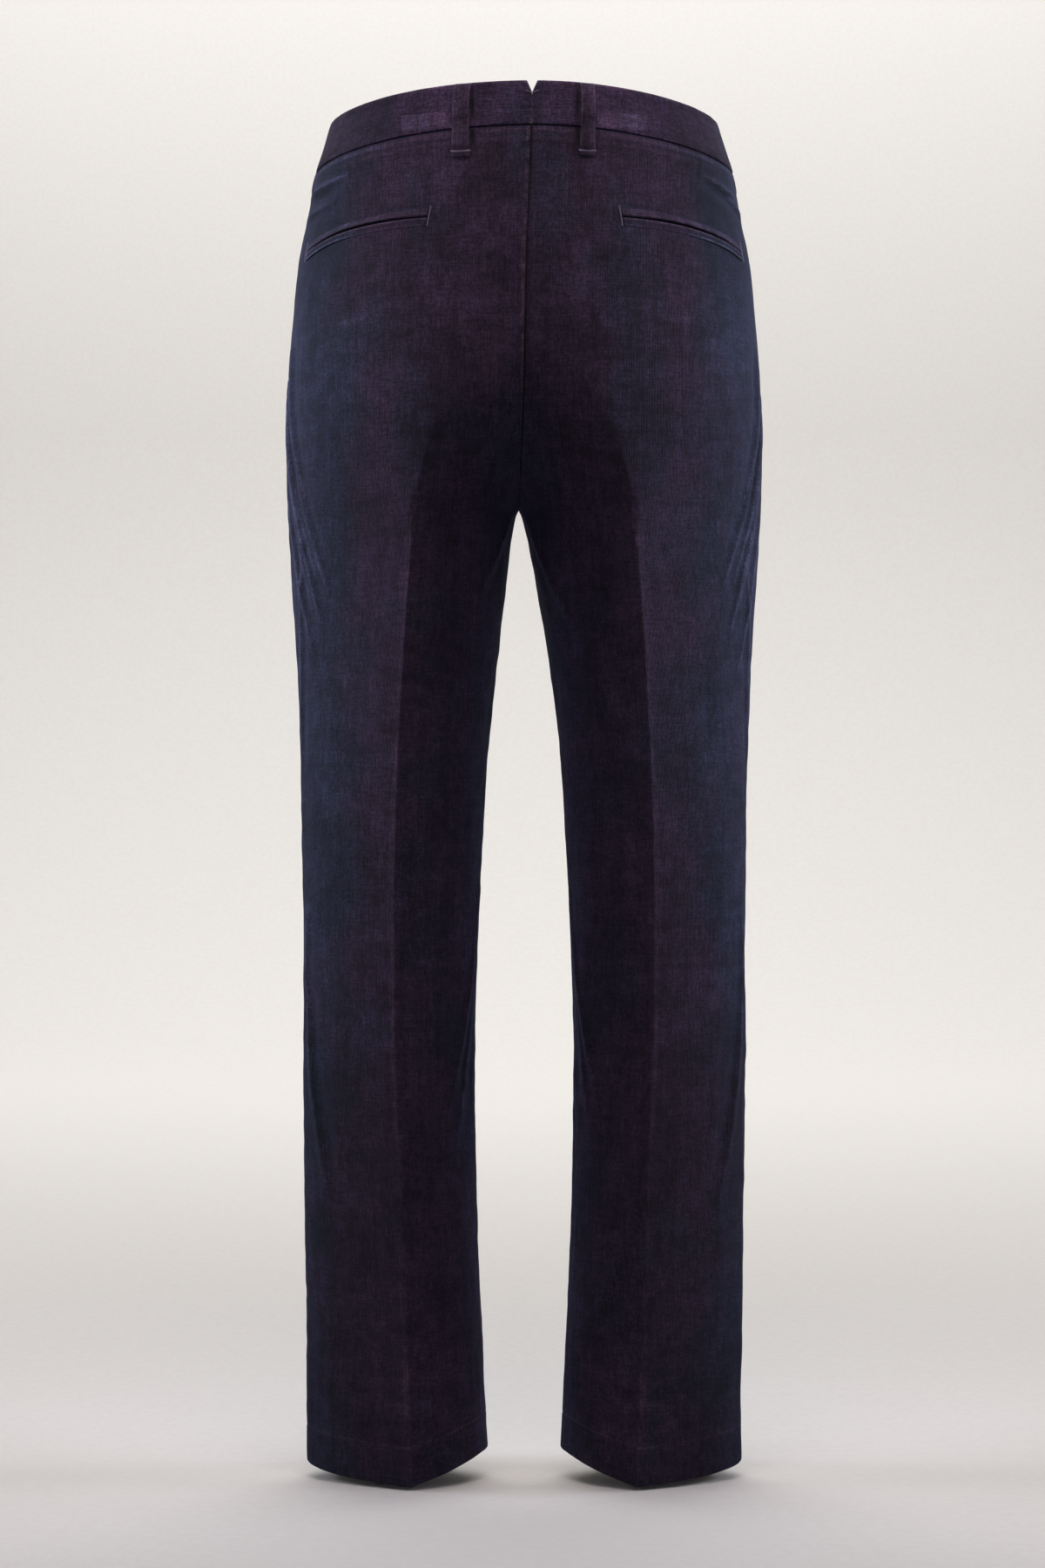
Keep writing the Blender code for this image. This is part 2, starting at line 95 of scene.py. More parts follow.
Section = namedtuple("Section", "drop outer inner back front crease lean sway")
SECTIONS = table(
    Section,
    (-0.020, 0.1552, -0.1552, 0.1105, 0.1110, 0.00, 0.0000, -0.0064),
    (0.000, 0.1592, -0.1592, 0.1120, 0.1125, 0.00, 0.0000, -0.0062),
    (0.018, 0.1645, -0.1645, 0.1145, 0.1135, 0.00, 0.0000, -0.0058),
    (0.040, 0.1714, -0.1706, 0.1190, 0.1150, 0.00, 0.0000, -0.0052),
    (0.076, 0.1782, -0.1720, 0.1245, 0.1165, 0.00, 0.0000, -0.0038),
    (0.112, 0.1854, -0.1690, 0.1295, 0.1175, 0.00, 0.0000, -0.0025),
    (0.150, 0.1896, -0.1590, 0.1330, 0.1178, 0.00, 0.0000, -0.0014),
    (0.190, 0.1930, -0.1370, 0.1345, 0.1170, 0.00, 0.0000, -0.0006),
    (0.227, 0.1951, -0.1000, 0.1335, 0.1150, 0.10, 0.0000, 0.0002),
    (0.260, 0.1961, -0.0600, 0.1295, 0.1125, 0.22, 0.0000, 0.0018),
    (0.290, 0.1960, -0.0240, 0.1235, 0.1092, 0.38, -0.0070, 0.0034),
    (0.3175, 0.1953, 0.0000, 0.1170, 0.1055, 0.50, -0.0115, 0.0043),
    (0.328, 0.1948, 0.0038, 0.1145, 0.1040, 0.54, -0.0120, 0.0043),
    (0.356, 0.1931, 0.0092, 0.1085, 0.1010, 0.60, -0.0119, 0.0034),
    (0.400, 0.1908, 0.0158, 0.1005, 0.0965, 0.64, -0.0100, 0.0022),
    (0.457, 0.1868, 0.0234, 0.0915, 0.0915, 0.65, -0.0080, 0.0008),
    (0.530, 0.1842, 0.0308, 0.0825, 0.0865, 0.65, -0.0060, 0.0000),
    (0.616, 0.1829, 0.0356, 0.0745, 0.0815, 0.65, -0.0052, 0.0000),
    (0.700, 0.1823, 0.0390, 0.0695, 0.0770, 0.65, -0.0062, 0.0000),
    (0.780, 0.1827, 0.0408, 0.0670, 0.0730, 0.65, -0.0088, 0.0000),
    (0.860, 0.1818, 0.0400, 0.0655, 0.0700, 0.65, -0.0112, 0.0000),
    (0.950, 0.1805, 0.0368, 0.0635, 0.0675, 0.65, -0.0122, 0.0000),
    (1.040, 0.1797, 0.0327, 0.0605, 0.0655, 0.65, -0.0124, 0.0000),
    (1.130, 0.1795, 0.0285, 0.0575, 0.0640, 0.65, -0.0128, 0.0000),
)
SWAY_REACH = 0.055
CREASE_POWER = 0.7
FRONT_LEAN = -0.6
FOLD_RADIUS = 0.10  # metres of cloth for each radian of turn
FOLD_ENDS = 0.45  # lower where creases keep their height nearer to their ends
FOLD_TROUGH = 0.45  # how deep the trough beside a crease is, as a share of its height
FULL_CREST = 0.002  # the height of a crease that is rubbed in full
CREASE_UPRIGHT, CREASE_X, CREASE_LEAN = 0.376, 0.0925, 0.150  # the pressed crease above the thigh
SEAM_HOLD = 0.09  # how many radians from a seam the cloth is free to crease

# One row for each crease in the cloth: a soft ridge (or a trough, where the height is below 0) along a
# line from one drop and turn to another. The bow is how far its middle strays towards a higher turn.
# Turns and bows are in degrees.
Crease = namedtuple("Crease", "drop_a turn_a drop_b turn_b width height bow", defaults=(0,))
CREASES = {
    (LEFT, BACK): table(
        Crease,
        # pulled from the side of the waist, under the waistband
        (0.0540, 36, 0.0615, 4, 0.0034, 0.0022),
        (0.0745, 29, 0.0800, 5, 0.0034, 0.0015),
        (0.0640, 30, 0.0700, 8, 0.0045, -0.0012),
        # faint lines and hollows over the seat
        (0.1740, 34, 0.1790, 66, 0.0030, 0.0004),
        (0.1000, 76, 0.1560, 74, 0.0110, -0.0013),
        # the fan of folds down the outer hip and thigh
        (0.175, 8, 0.310, 31, 0.0045, 0.0017, -3),
        (0.190, 10, 0.388, 46, 0.0040, 0.0024, -4),
        (0.215, 8, 0.372, 37, 0.0040, 0.0020, -3),
        (0.235, 8, 0.412, 40, 0.0040, 0.0020, -2),
        (0.290, 7, 0.440, 33, 0.0050, 0.0016, -1),
        (0.205, 7, 0.352, 28, 0.0032, 0.0013, -2),
        (0.262, 9, 0.402, 34, 0.0034, 0.0014, -1),
        (0.345, 27, 0.530, 10, 0.0050, 0.0015),
        # short folds round the fork
        (0.270, 118, 0.345, 150, 0.0060, 0.0013, 4),
        (0.310, 168, 0.400, 132, 0.0065, 0.0015),
        # knees and calves
        (0.632, 170, 0.800, 133, 0.0075, 0.0026, 3),
        (0.700, 168, 0.830, 140, 0.0080, 0.0014),
        (0.705, 17, 0.880, 40, 0.0075, 0.0024, -2),
        (0.640, 20, 0.760, 8, 0.0080, 0.0013),
        # the break just above the hem
        (0.985, 35, 1.020, 110, 0.0110, -0.0012),
    ),
    (RIGHT, BACK): table(
        Crease,
        (0.0540, 35, 0.0650, 13, 0.0034, 0.0020),
        (0.0660, 20, 0.0780, 4, 0.0032, 0.0018),
        (0.0630, 32, 0.0730, 18, 0.0045, -0.0010),
        (0.1720, 36, 0.1775, 68, 0.0030, 0.0004),
        (0.1040, 75, 0.1520, 77, 0.0110, -0.0012),
        (0.182, 8, 0.312, 30, 0.0045, 0.0016, -3),
        (0.196, 10, 0.380, 43, 0.0040, 0.0024, -4),
        (0.228, 8, 0.378, 35, 0.0040, 0.0019, -3),
        (0.244, 8, 0.420, 38, 0.0040, 0.0021, -2),
        (0.310, 7, 0.450, 29, 0.0050, 0.0015, -1),
        (0.212, 7, 0.346, 27, 0.0032, 0.0013, -2),
        (0.274, 9, 0.398, 32, 0.0034, 0.0014, -1),
        (0.360, 24, 0.520, 9, 0.0050, 0.0013),
        (0.275, 120, 0.350, 152, 0.0060, 0.0012, 4),
        (0.318, 168, 0.415, 134, 0.0065, 0.0014),
        (0.636, 171, 0.800, 132, 0.0075, 0.0026, 3),
        (0.690, 168, 0.815, 144, 0.0080, 0.0013),
        (0.705, 15, 0.884, 41, 0.0075, 0.0024, -2),
        (0.650, 18, 0.770, 7, 0.0080, 0.0012),
        (0.990, 60, 1.030, 140, 0.0110, -0.0011),
    ),
    (LEFT, FRONT): table(
        Crease,
        (0.0560, 30, 0.0610, 5, 0.0040, 0.0016),
        (0.190, 8, 0.330, 40, 0.0060, 0.0018, -2),
        (0.235, 6, 0.380, 34, 0.0055, 0.0020, -1),
        (0.318, 165, 0.262, 92, 0.0070, 0.0022),
        (0.338, 168, 0.318, 98, 0.0065, 0.0018),
        (0.350, 170, 0.420, 122, 0.0070, 0.0018),
        (0.600, 165, 0.690, 120, 0.0085, 0.0022),
        (0.620, 14, 0.720, 52, 0.0085, 0.0022),
        (0.690, 20, 0.850, 44, 0.0080, 0.0016),
    ),
    (RIGHT, FRONT): table(
        Crease,
        (0.0600, 34, 0.0680, 6, 0.0040, 0.0017),
        (0.200, 8, 0.350, 42, 0.0060, 0.0018, -2),
        (0.250, 6, 0.395, 33, 0.0055, 0.0019, -1),
        (0.315, 165, 0.250, 88, 0.0070, 0.0021),
        (0.335, 168, 0.300, 96, 0.0060, 0.0017),
        (0.352, 170, 0.436, 126, 0.0070, 0.0019),
        (0.585, 165, 0.680, 124, 0.0085, 0.0021),
        (0.630, 12, 0.735, 50, 0.0085, 0.0023),
        (0.700, 168, 0.840, 138, 0.0080, 0.0016),
    ),
}

# Darts from the waistband to the back pockets: turns in degrees
DART_TOP = (0.030, 34.6)
DART_END = (0.0885, 40.6)
DART_RADIUS = 0.150  # metres of cloth for each radian of turn there
DART_RIDGE, DART_DIP = 0.0004, 0.0006

NOTCH_DEPTH = 0.0098
NOTCH_HALF_WIDTH = 0.0042
UNDERLAP = 0.015
LIFT_FROM, LIFT_TO = 0.055, 0.022  # where the waistband's left end rises over the right one

Loop = namedtuple("Loop", "name face turn_left turn_right lean length slack")
LOOPS = table(
    Loop,
    ("back", BACK, 72.0, 73.7, 1.5, 0.059, "high"),
    ("side", FRONT, 17.0, 17.0, 0.0, 0.062, "low"),
    ("front", FRONT, 67.0, 67.0, 1.0, 0.058, "high"),
)
LOOP_WIDTH = 0.0132
LOOP_FROM_TOP = 0.0010
Stand = namedtuple("Stand", "along high low")
LOOP_STAND = table(
    Stand,
    (0.00, 0.0000, 0.0000),
    (0.06, 0.0034, 0.0004),
    (0.19, 0.0072, 0.0016),
    (0.33, 0.0080, 0.0040),
    (0.47, 0.0078, 0.0068),
    (0.55, 0.0064, 0.0078),
    (0.68, 0.0053, 0.0080),
    (0.80, 0.0040, 0.0072),
    (0.90, 0.0020, 0.0036),
    (0.96, 0.0002, 0.0004),
    (1.00, 0.0000, 0.0000),
)

POCKET_TURN = (66.2, 19.2)
POCKET_DROP = 0.0957
POCKET_SAG = 0.0160
POCKET_LENGTH = 0.132
WELT_HEIGHT = 0.0070

FLY_PAST_CENTRE = 0.006
FLY_WIDTH = 0.038
FLY_STRAIGHT_TO = 0.150
FLY_END = 0.205
FLY_CLOTH = 0.0012
BUTTON_DROP = 0.0300
BUTTON_X = -0.0030
HOLE_SPACING = 0.0028

HEM_TURN_UP = 0.0300
WALE = 0.0011  # from one cord of the corduroy to the next
STITCH = 0.0026
TACK_PITCH = 0.00055


# ---------------------------------------------------------------- form
def ramp(value, start, length):
    """From 0 at the start softly up to 1 after this length. A length below 0 runs the other way."""
    t = np.clip((value - start) / length, 0.0, 1.0)
    return t * t * (3 - 2 * t)


def bell(distance, width):
    return np.exp(-((distance / width) ** 2))


def alike(*values):
    """These numbers and arrays as arrays of one shape."""
    return np.broadcast_arrays(*(np.asarray(value, float) for value in values))


def through(drop, rows):
    """Smooth curves through a table's rows, which start with the place along it."""
    drop = np.asarray(drop, float)
    known = np.array(rows, float)
    last = len(known) - 2
    i = np.clip(np.searchsorted(known[:, 0], drop, side="right") - 1, 0, last)
    a, b = known[i], known[i + 1]
    before, after = known[np.maximum(i - 1, 0)], known[np.minimum(i + 2, last + 1)]
    span = (b - a)[..., :1]
    t = (drop[..., None] - a[..., :1]) / span
    rise_a = (b - before) / (b - before)[..., :1] * span
    rise_b = (after - a) / (after - a)[..., :1] * span
    mixed = (2 * t**3 - 3 * t**2 + 1) * a + (t**3 - 2 * t**2 + t) * rise_a
    mixed += (3 * t**2 - 2 * t**3) * b + (t**3 - t**2) * rise_b
    return np.moveaxis(mixed, -1, 0)


def section_at(drop):
    return Section(*through(drop, SECTIONS))


def oval(section):
    """The middle of the left leg's oval and half its width."""
    return (section.outer + section.inner) / 2, (section.outer - section.inner) / 2


def end_turn(drop):
    """The turn at which the cloth meets the seat or fly seam, or the inseam below the fork."""
    middle, half = oval(section_at(drop))
    return np.arccos(np.clip(-middle / half, -1.0, 1.0))


def bulge(turn, crease):
    across = np.abs(np.cos(turn))
    return (1 - crease) * np.sin(turn) + crease * (1 - across) ** CREASE_POWER


def ring(face, turn, drop):
    """Points of the left leg's oval."""
    s = section_at(drop)
    middle, half = oval(s)
    across = np.cos(turn)
    end = -np.clip(-middle / half, -1.0, 1.0)
    lean = s.lean if face == BACK else s.lean * FRONT_LEAN
    leaning = lean * (1 - across) * (across + end) / np.maximum(end, 1e-6)
    depth = s.back if face == BACK else s.front
    x = middle + half * across + leaning
    return np.stack((x, face * depth * bulge(turn, s.crease), -drop + 0 * turn), axis=-1)


def outward(face, turn, drop):
    step_turn, step_drop = math.radians(0.6), 0.0008
    before, after = np.maximum(turn - step_turn, 0.0), np.minimum(turn + step_turn, math.pi)
    round_it = ring(face, after, drop) - ring(face, before, drop)
    up_it = ring(face, turn, drop - step_drop) - ring(face, turn, drop + step_drop)
    normal = np.cross(round_it, up_it) * face
    return normal / np.linalg.norm(normal, axis=-1, keepdims=True)


def sway(points):
    shift = section_at(-points[..., 2]).sway * bell(points[..., 0], SWAY_REACH)
    moved = points.copy()
    moved[..., 0] += shift
    return moved


def waves(x, y, z, scale, seed):
    """Soft noise from -1 to 1 at these places, of about this many waves a metre."""
    places = np.stack(alike(x, y, z), axis=-1)
    flat = places.reshape(-1, 3) * scale + seed
    return np.array([noise.noise(Vector(p)) for p in flat]).reshape(places.shape[:-1])


def creases(side, face, turn, drop):
    """How far creases, darts and slack move the cloth in or out, and how near it is to a crest."""
    turn, drop = alike(turn, drop)
    total, crest = np.zeros(turn.shape), np.zeros(turn.shape)
    for fold in CREASES[side, face]:
        a = np.array((math.radians(fold.turn_a) * FOLD_RADIUS, fold.drop_a))
        b = np.array((math.radians(fold.turn_b) * FOLD_RADIUS, fold.drop_b))
        line = b - a
        length = np.linalg.norm(line)
        here = np.stack((turn * FOLD_RADIUS, drop), axis=-1) - a
        along = np.clip(here @ line / length**2, 0.0, 1.0)
        bow = math.radians(fold.bow) * FOLD_RADIUS * np.sin(math.pi * along)
        offset = here - along[..., None] * line
        offset[..., 0] -= bow
        away = np.linalg.norm(offset, axis=-1)
        sign = np.sign(offset[..., 0] * line[1] - offset[..., 1] * line[0])
        fade = np.sin(math.pi * np.clip(along, 0.02, 0.98)) ** FOLD_ENDS
        peaked = 0.5 * bell(away, fold.width) + 0.5 * np.exp(-away / (0.55 * fold.width))
        trough = FOLD_TROUGH * bell(sign * away - 1.7 * fold.width, 1.1 * fold.width)
        total += fold.height * fade * (peaked - trough)
        crest += max(fold.height, 0.0) / FULL_CREST * fade * bell(away, 0.0012)
    if face == BACK:
        share = (drop - DART_TOP[0]) / (DART_END[0] - DART_TOP[0])
        middle = math.radians(DART_TOP[1]) + math.radians(DART_END[1] - DART_TOP[1]) * share
        off = (turn - middle) * DART_RADIUS
        fade = ramp(share, -0.1, 0.1) * ramp(share, 1, -0.12)
        total += fade * (DART_RIDGE * bell(off + 0.0035, 0.003) - DART_DIP * bell(off, 0.0012))
    spots = (turn * FOLD_RADIUS * 1.5, drop, 3.0 * side + 7.0 * face)
    total += 0.0009 * waves(*spots, 14.0, 0.3) + 0.0004 * waves(*spots, 45.0, 5.1)
    loose = ramp(turn, 0, SEAM_HOLD) * ramp(turn, end_turn(drop), -SEAM_HOLD)
    return total * loose, crest * loose


def cloth_point(side, face, turn, drop, out=0.0, keep_seams=True, creased=True):
    """Points of the cloth, this far out from the oval, kept on their own side of the seams."""
    turn, drop = alike(turn, drop)
    if creased:
        out = out + creases(side, face, turn, drop)[0]
    points = ring(face, turn, drop) + outward(face, turn, drop) * np.asarray(out)[..., None]
    if keep_seams:
        points[..., 0] = np.maximum(points[..., 0], 0.0)
        points[..., 1] = face * np.maximum(face * points[..., 1], 0.0)
    points[..., 0] *= side
    return sway(points)


def waist_lift(face, turn, side_drop):
    rise = SEAM_RISE[face] * np.sin(np.minimum(turn, QUARTER)) ** RISE_POWER
    return rise * (1 - ramp(side_drop, SEAM, WAIST_REACH - SEAM))


def hem_fall(face, turn, side_drop):
    across = np.cos(turn)
    crease = bulge(turn, SECTIONS[-1].crease)
    if face == BACK:
        crease = np.where(across < 0, crease**2, crease)
    fall = HEM_TILT * across + HEM_SLANT[face] * crease
    return fall * ramp(side_drop, HEM_REACH, HEM - HEM_REACH)


def pressed_turn(drop):
    """The turn of the pressed crease, which leans in towards the seat above the thigh."""
    turns = np.linspace(0.3, 2.2, 300)
    found = []
    for level in drop[:, 0]:
        place = CREASE_X - CREASE_LEAN * (CREASE_UPRIGHT - level)
        across = ring(BACK, turns, np.full(turns.shape, level))[:, 0]
        found.append(np.interp(-place, -across, turns) if level < CREASE_UPRIGHT else QUARTER)
    blend = ramp(drop, CREASE_UPRIGHT - 0.05, 0.05)
    return np.array(found)[:, None] * (1 - blend) + QUARTER * blend


def column_turn(share, drop):
    end = end_turn(drop)
    settled = ramp(drop, SEAM, 0.14)
    crease = end / 2 + (pressed_turn(drop) - end / 2) * settled
    return np.where(share <= 0.5, crease * share * 2, crease + (end - crease) * (share - 0.5) * 2)


# ---------------------------------------------------------------- meshes
def place_object(name, data):
    made = bpy.data.objects.new(name, data)
    bpy.context.scene.collection.objects.link(made)
    return made


def add_mesh(name, points, faces, finish, uv=None, values=None):
    """A smooth mesh object, with its cloth coordinates in metres and its own values at each point."""
    mesh = bpy.data.meshes.new(name)
    mesh.from_pydata([tuple(p) for p in points], [], faces)
    mesh.materials.append(finish)
    if uv is not None:
        corners = np.zeros(len(mesh.loops), int)
        mesh.loops.foreach_get("vertex_index", corners)
        layer = mesh.uv_layers.new(name="cloth")
        layer.data.foreach_set("uv", np.asarray(uv, float)[corners].ravel())
    for key, value in (values or {}).items():
        made = mesh.attributes.new(key, "FLOAT", "POINT")
        made.data.foreach_set("value", np.asarray(value, float).ravel())
    mesh.shade_smooth()
    return place_object(name, mesh)


def flat_place(across, along):
    """The cloth coordinates of a grid, in metres across and along the cords."""
    return np.stack(alike(across, along), axis=-1).reshape(-1, 2)


def grid_faces(rows, columns, closed=False, flip=False):
    """Quads of a grid of points, and round from its last column to its first where it is closed."""
    faces = []
    for i in range(rows - 1):
        low, high = i * columns, (i + 1) * columns
        for j in range(columns if closed else columns - 1):
            k = (j + 1) % columns
            faces.append((low + j, low + k, high + k, high + j))
    return [face[::-1] for face in faces] if flip else faces


def loft(node, rings, finish, uv, values):
    """The cloth in place of a node: a closed form through rings of points, flat at both ends."""
    rows, columns = rings.shape[:2]
    faces = grid_faces(rows, columns, closed=True)
    faces += [tuple(range(columns))[::-1], tuple((rows - 1) * columns + j for j in range(columns))]
    values = {key: np.broadcast_to(value, (rows, columns)) for key, value in values.items()}
    made = add_mesh(f"{node}_cloth", rings.reshape(-1, 3), faces, finish, uv, values)
    face_outwards(made)
    return stand_for(made, "corduroy", node)


def give_thickness(made, thickness):
    """Cloth of this thickness, inwards from the sheet."""
    wall = made.modifiers.new("cloth", "SOLIDIFY")
    wall.thickness = thickness
    wall.offset = -1.0
    return wall


def face_outwards(made):
    """Turns a closed mesh inside out where its faces look inwards."""
    mesh = made.data
    points = np.zeros(len(mesh.vertices) * 3)
    mesh.vertices.foreach_get("co", points)
    points = points.reshape(-1, 3)
    mesh.calc_loop_triangles()
    corners = np.zeros(len(mesh.loop_triangles) * 3, int)
    mesh.loop_triangles.foreach_get("vertices", corners)
    a, b, c = np.moveaxis(points[corners.reshape(-1, 3)], 1, 0)
    if (a * np.cross(b, c)).sum() < 0:
        mesh.flip_normals()


def stand_for(made, slot, *nodes):
    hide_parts(*nodes)
    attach(made, "root")
    return made


# ---------------------------------------------------------------- materials
def colour(hex_code):
    """A colour written as sRGB, as the shader wants it."""
    parts = [int(hex_code[i : i + 2], 16) / 255 for i in (1, 3, 5)]
    linear = [p / 12.92 if p <= 0.04045 else ((p + 0.055) / 1.055) ** 2.4 for p in parts]
    return (*linear, 1.0)


def add_node(tree, kind, inputs=None, **settings):
    """A node with its settings. An input is linked where a socket is given for it, and set otherwise."""
    made = tree.nodes.new(kind)
    for key, value in settings.items():
        setattr(made, key, value)
    for key, value in (inputs or {}).items():
        if isinstance(value, bpy.types.NodeSocket):
            tree.links.new(value, made.inputs[key])
        else:
            made.inputs[key].default_value = value
    return made


def new_material(name, values):
    """A material with these values on its shader's own sockets."""
    made = bpy.data.materials.new(name)
    made.use_nodes = True
    tree = made.node_tree
    shader = tree.nodes["Principled BSDF"]
    for key, value in values.items():
        shader.inputs[key].default_value = value
    return made, tree, shader, add_node(tree, "ShaderNodeTexCoord").outputs["Object"]


def maths(tree, operation, *values):
    return add_node(tree, "ShaderNodeMath", dict(enumerate(values)), operation=operation).outputs[0]


def times(tree, a, b):
    return maths(tree, "MULTIPLY", a, b)


def added(tree, a, b):
    return maths(tree, "ADD", a, b)


def value_at(tree, name):
    """The value that a mesh gives at each point under this name."""
    return add_node(tree, "ShaderNodeAttribute", attribute_name=name).outputs["Fac"]


def mixed(tree, factor, a, b, blend="MIX"):
    made = add_node(tree, "ShaderNodeMix", {0: factor, 6: a, 7: b}, data_type="RGBA", blend_type=blend)
    return made.outputs[2]


def ranged(tree, value, low, high, to_low=0.0, to_high=1.0):
    limits = {0: value, 1: low, 2: high, 3: to_low, 4: to_high}
    return add_node(tree, "ShaderNodeMapRange", limits, interpolation_type="SMOOTHSTEP").outputs[0]


def noise_at(tree, vector, scale, detail=3.0, roughness=0.55, stretch=(1, 1, 1)):
    """A noise texture of this many waves a metre, stretched along the axes."""
    spread = add_node(tree, "ShaderNodeMapping", {"Vector": vector, "Scale": stretch}).outputs[0]
    inputs = {"Vector": spread, "Scale": scale, "Detail": detail, "Roughness": roughness}
    return add_node(tree, "ShaderNodeTexNoise", inputs).outputs[0]


def add_bump(tree, shader, height, strength, distance):
    inputs = {"Height": height, "Strength": strength, "Distance": distance}
    tree.links.new(add_node(tree, "ShaderNodeBump", inputs).outputs[0], shader.inputs["Normal"])


NAVY = colour("#1f2233")
PLUM = colour("#2b1f32")
RUBBED = colour("#6b5168")
# Pale blue of the rubbed oblongs' outer half and of the pale crests, which are partly painted highlight.
CHALK_BLUE = colour("#6a7098")


def corduroy(name, brightness=1.0, sheen=0.27, patch=False):
    """Needlecord: fine cords of velvet nap, garment-dyed, so cloudy in colour and paler on its edges."""
    nap = {"Roughness": 0.88, "Specular IOR Level": 0.18, "Sheen Weight": sheen, "Sheen Roughness": 0.32}
    made, tree, shader, place = new_material(name, nap)
    shader.inputs["Sheen Tint"].default_value = colour("#5a6cb0")
    cloth = add_node(tree, "ShaderNodeUVMap", uv_map="cloth").outputs[0]
    across = add_node(tree, "ShaderNodeSeparateXYZ", {0: cloth}).outputs[0]
    clouds = noise_at(tree, place, 15.0, 4.0, 0.6, (1, 1, 0.6))
    mottle = noise_at(tree, place, 75.0, 4.0, 0.65)
    worn_areas = noise_at(tree, place, 24.0, 5.0, 0.62, (1, 1, 0.7))
    speckle = noise_at(tree, place, 430.0, 2.0, 0.6)
    warp = noise_at(tree, cloth, 1.0, 2.0, 0.6, (900, 70, 1))
    weft = noise_at(tree, cloth, 1.0, 2.0, 0.6, (60, 900, 1))
    slubs = noise_at(tree, cloth, 1.0, 3.0, 0.5, (220, 9, 1))
    smudges = noise_at(tree, cloth, 1.0, 3.0, 0.6, (17, 95, 1))
    wander = times(tree, noise_at(tree, cloth, 1.0, 2.0, 0.5, (40, 25, 1)), 0.0004)
    turns = times(tree, added(tree, across, wander), 2 * math.pi / WALE)
    cord = ranged(tree, maths(tree, "SINE", turns), -1.0, 0.6)
    # Painted blue sheen from the mesh, with random bluer clouds of dye.
    sheen_and_dye_blue = added(tree, value_at(tree, "sheen_and_dye_blue"), ranged(tree, clouds, 0.36, 0.66, -0.25, 0.55))
    sheen_and_dye_blue = maths(tree, "MAXIMUM", maths(tree, "MINIMUM", sheen_and_dye_blue, 1.0), 0.0)
    pale = times(tree, value_at(tree, "rubbed"), ranged(tree, mottle, 0.3, 0.65, 0.55, 1.0))
    tint = mixed(tree, sheen_and_dye_blue, PLUM, NAVY)
    tint = mixed(tree, pale, tint, RUBBED)
    # Pale crests: partly rubbed, partly painted highlight.
    tint = mixed(tree, value_at(tree, "crest_wear_and_highlight"), tint, CHALK_BLUE)
    if patch:
        tint = worn_patch(tree, place, tint)
    shade = ranged(tree, mottle, 0.25, 0.75, 0.77 * brightness, 1.25 * brightness)
    for texture, low, high, darkest, palest in (
        (worn_areas, 0.3, 0.7, 0.72, 1.28),
        (smudges, 0.3, 0.7, 0.86, 1.14),
        (slubs, 0.3, 0.7, 0.86, 1.14),
        (warp, 0.3, 0.7, 0.72, 1.28),
        (weft, 0.3, 0.7, 0.77, 1.23),
        (speckle, 0.32, 0.68, 0.68, 1.34),
        (cord, 0.0, 1.0, 0.72, 1.1),
    ):
        shade = times(tree, shade, ranged(tree, texture, low, high, darkest, palest))
    # Painted shade and shadow from the mesh darken the colour here.
    shade = times(tree, shade, maths(tree, "SUBTRACT", 1.0, value_at(tree, "shaded")))
    grey = add_node(tree, "ShaderNodeCombineColor", {0: shade, 1: shade, 2: shade}).outputs[0]
    tree.links.new(mixed(tree, 1.0, tint, grey, "MULTIPLY"), shader.inputs["Base Color"])
    height = added(tree, times(tree, cord, 0.55), times(tree, added(tree, warp, weft), 0.35))
    add_bump(tree, shader, added(tree, height, times(tree, mottle, 1.4)), 0.7, 0.0005)
    return made


def worn_patch(tree, place, tint):
    """The two rubbed oblongs on the back of the waistband, bluer on their outer half."""
    x, y, z = add_node(tree, "ShaderNodeSeparateXYZ", {0: place}).outputs
    side = maths(tree, "ABSOLUTE", x)
    whole = ranged(tree, y, 0.0, 0.01)
    for value, start, full, fading, end in (
        (side, 0.0575, 0.0584, 0.0976, 0.0984),
        (z, -0.0238, -0.0230, -0.0108, -0.0100),
    ):
        whole = times(tree, whole, ranged(tree, value, start, full))
        whole = times(tree, whole, ranged(tree, value, fading, end, 1.0, 0.0))
    outer = times(tree, whole, ranged(tree, side, 0.0750, 0.0765))
    tint = mixed(tree, times(tree, whole, 0.09), tint, RUBBED)
    return mixed(tree, times(tree, outer, 0.06), tint, CHALK_BLUE)


def fibres(name, hex_code, fineness, values):
    """Thread or plain cloth, with darker fibres, this many a metre."""
    made, tree, shader, place = new_material(name, values)
    pale = colour(hex_code)
    spun = ranged(tree, noise_at(tree, place, fineness, 2.0), 0.3, 0.7)
    tree.links.new(mixed(tree, spun, pale, tuple(c * 0.6 for c in pale)), shader.inputs["Base Color"])
    return made


def thread(name, hex_code):
    """Twisted polyester thread."""
    return fibres(name, hex_code, 2500.0, {"Roughness": 0.6, "Sheen Weight": 0.2})


def plastic(name, hex_code):
    """Moulded polyester with faint marbling and fine scratches."""
    made, tree, shader, place = new_material(name, {})
    marble = ranged(tree, noise_at(tree, place, 260.0, 4.0, 0.6), 0.4, 0.65)
    scratches = noise_at(tree, place, 1.0, 2.0, 0.6, (3000, 300, 300))
    dark = colour(hex_code)
    tint = mixed(tree, marble, dark, tuple(min(c * 2.2, 1.0) for c in dark))
    tree.links.new(tint, shader.inputs["Base Color"])
    tree.links.new(ranged(tree, scratches, 0.3, 0.7, 0.28, 0.45), shader.inputs["Roughness"])
    add_bump(tree, shader, scratches, 0.15, 0.0001)
    return made


CORDUROY = corduroy("navy_needlecord", brightness=0.94)
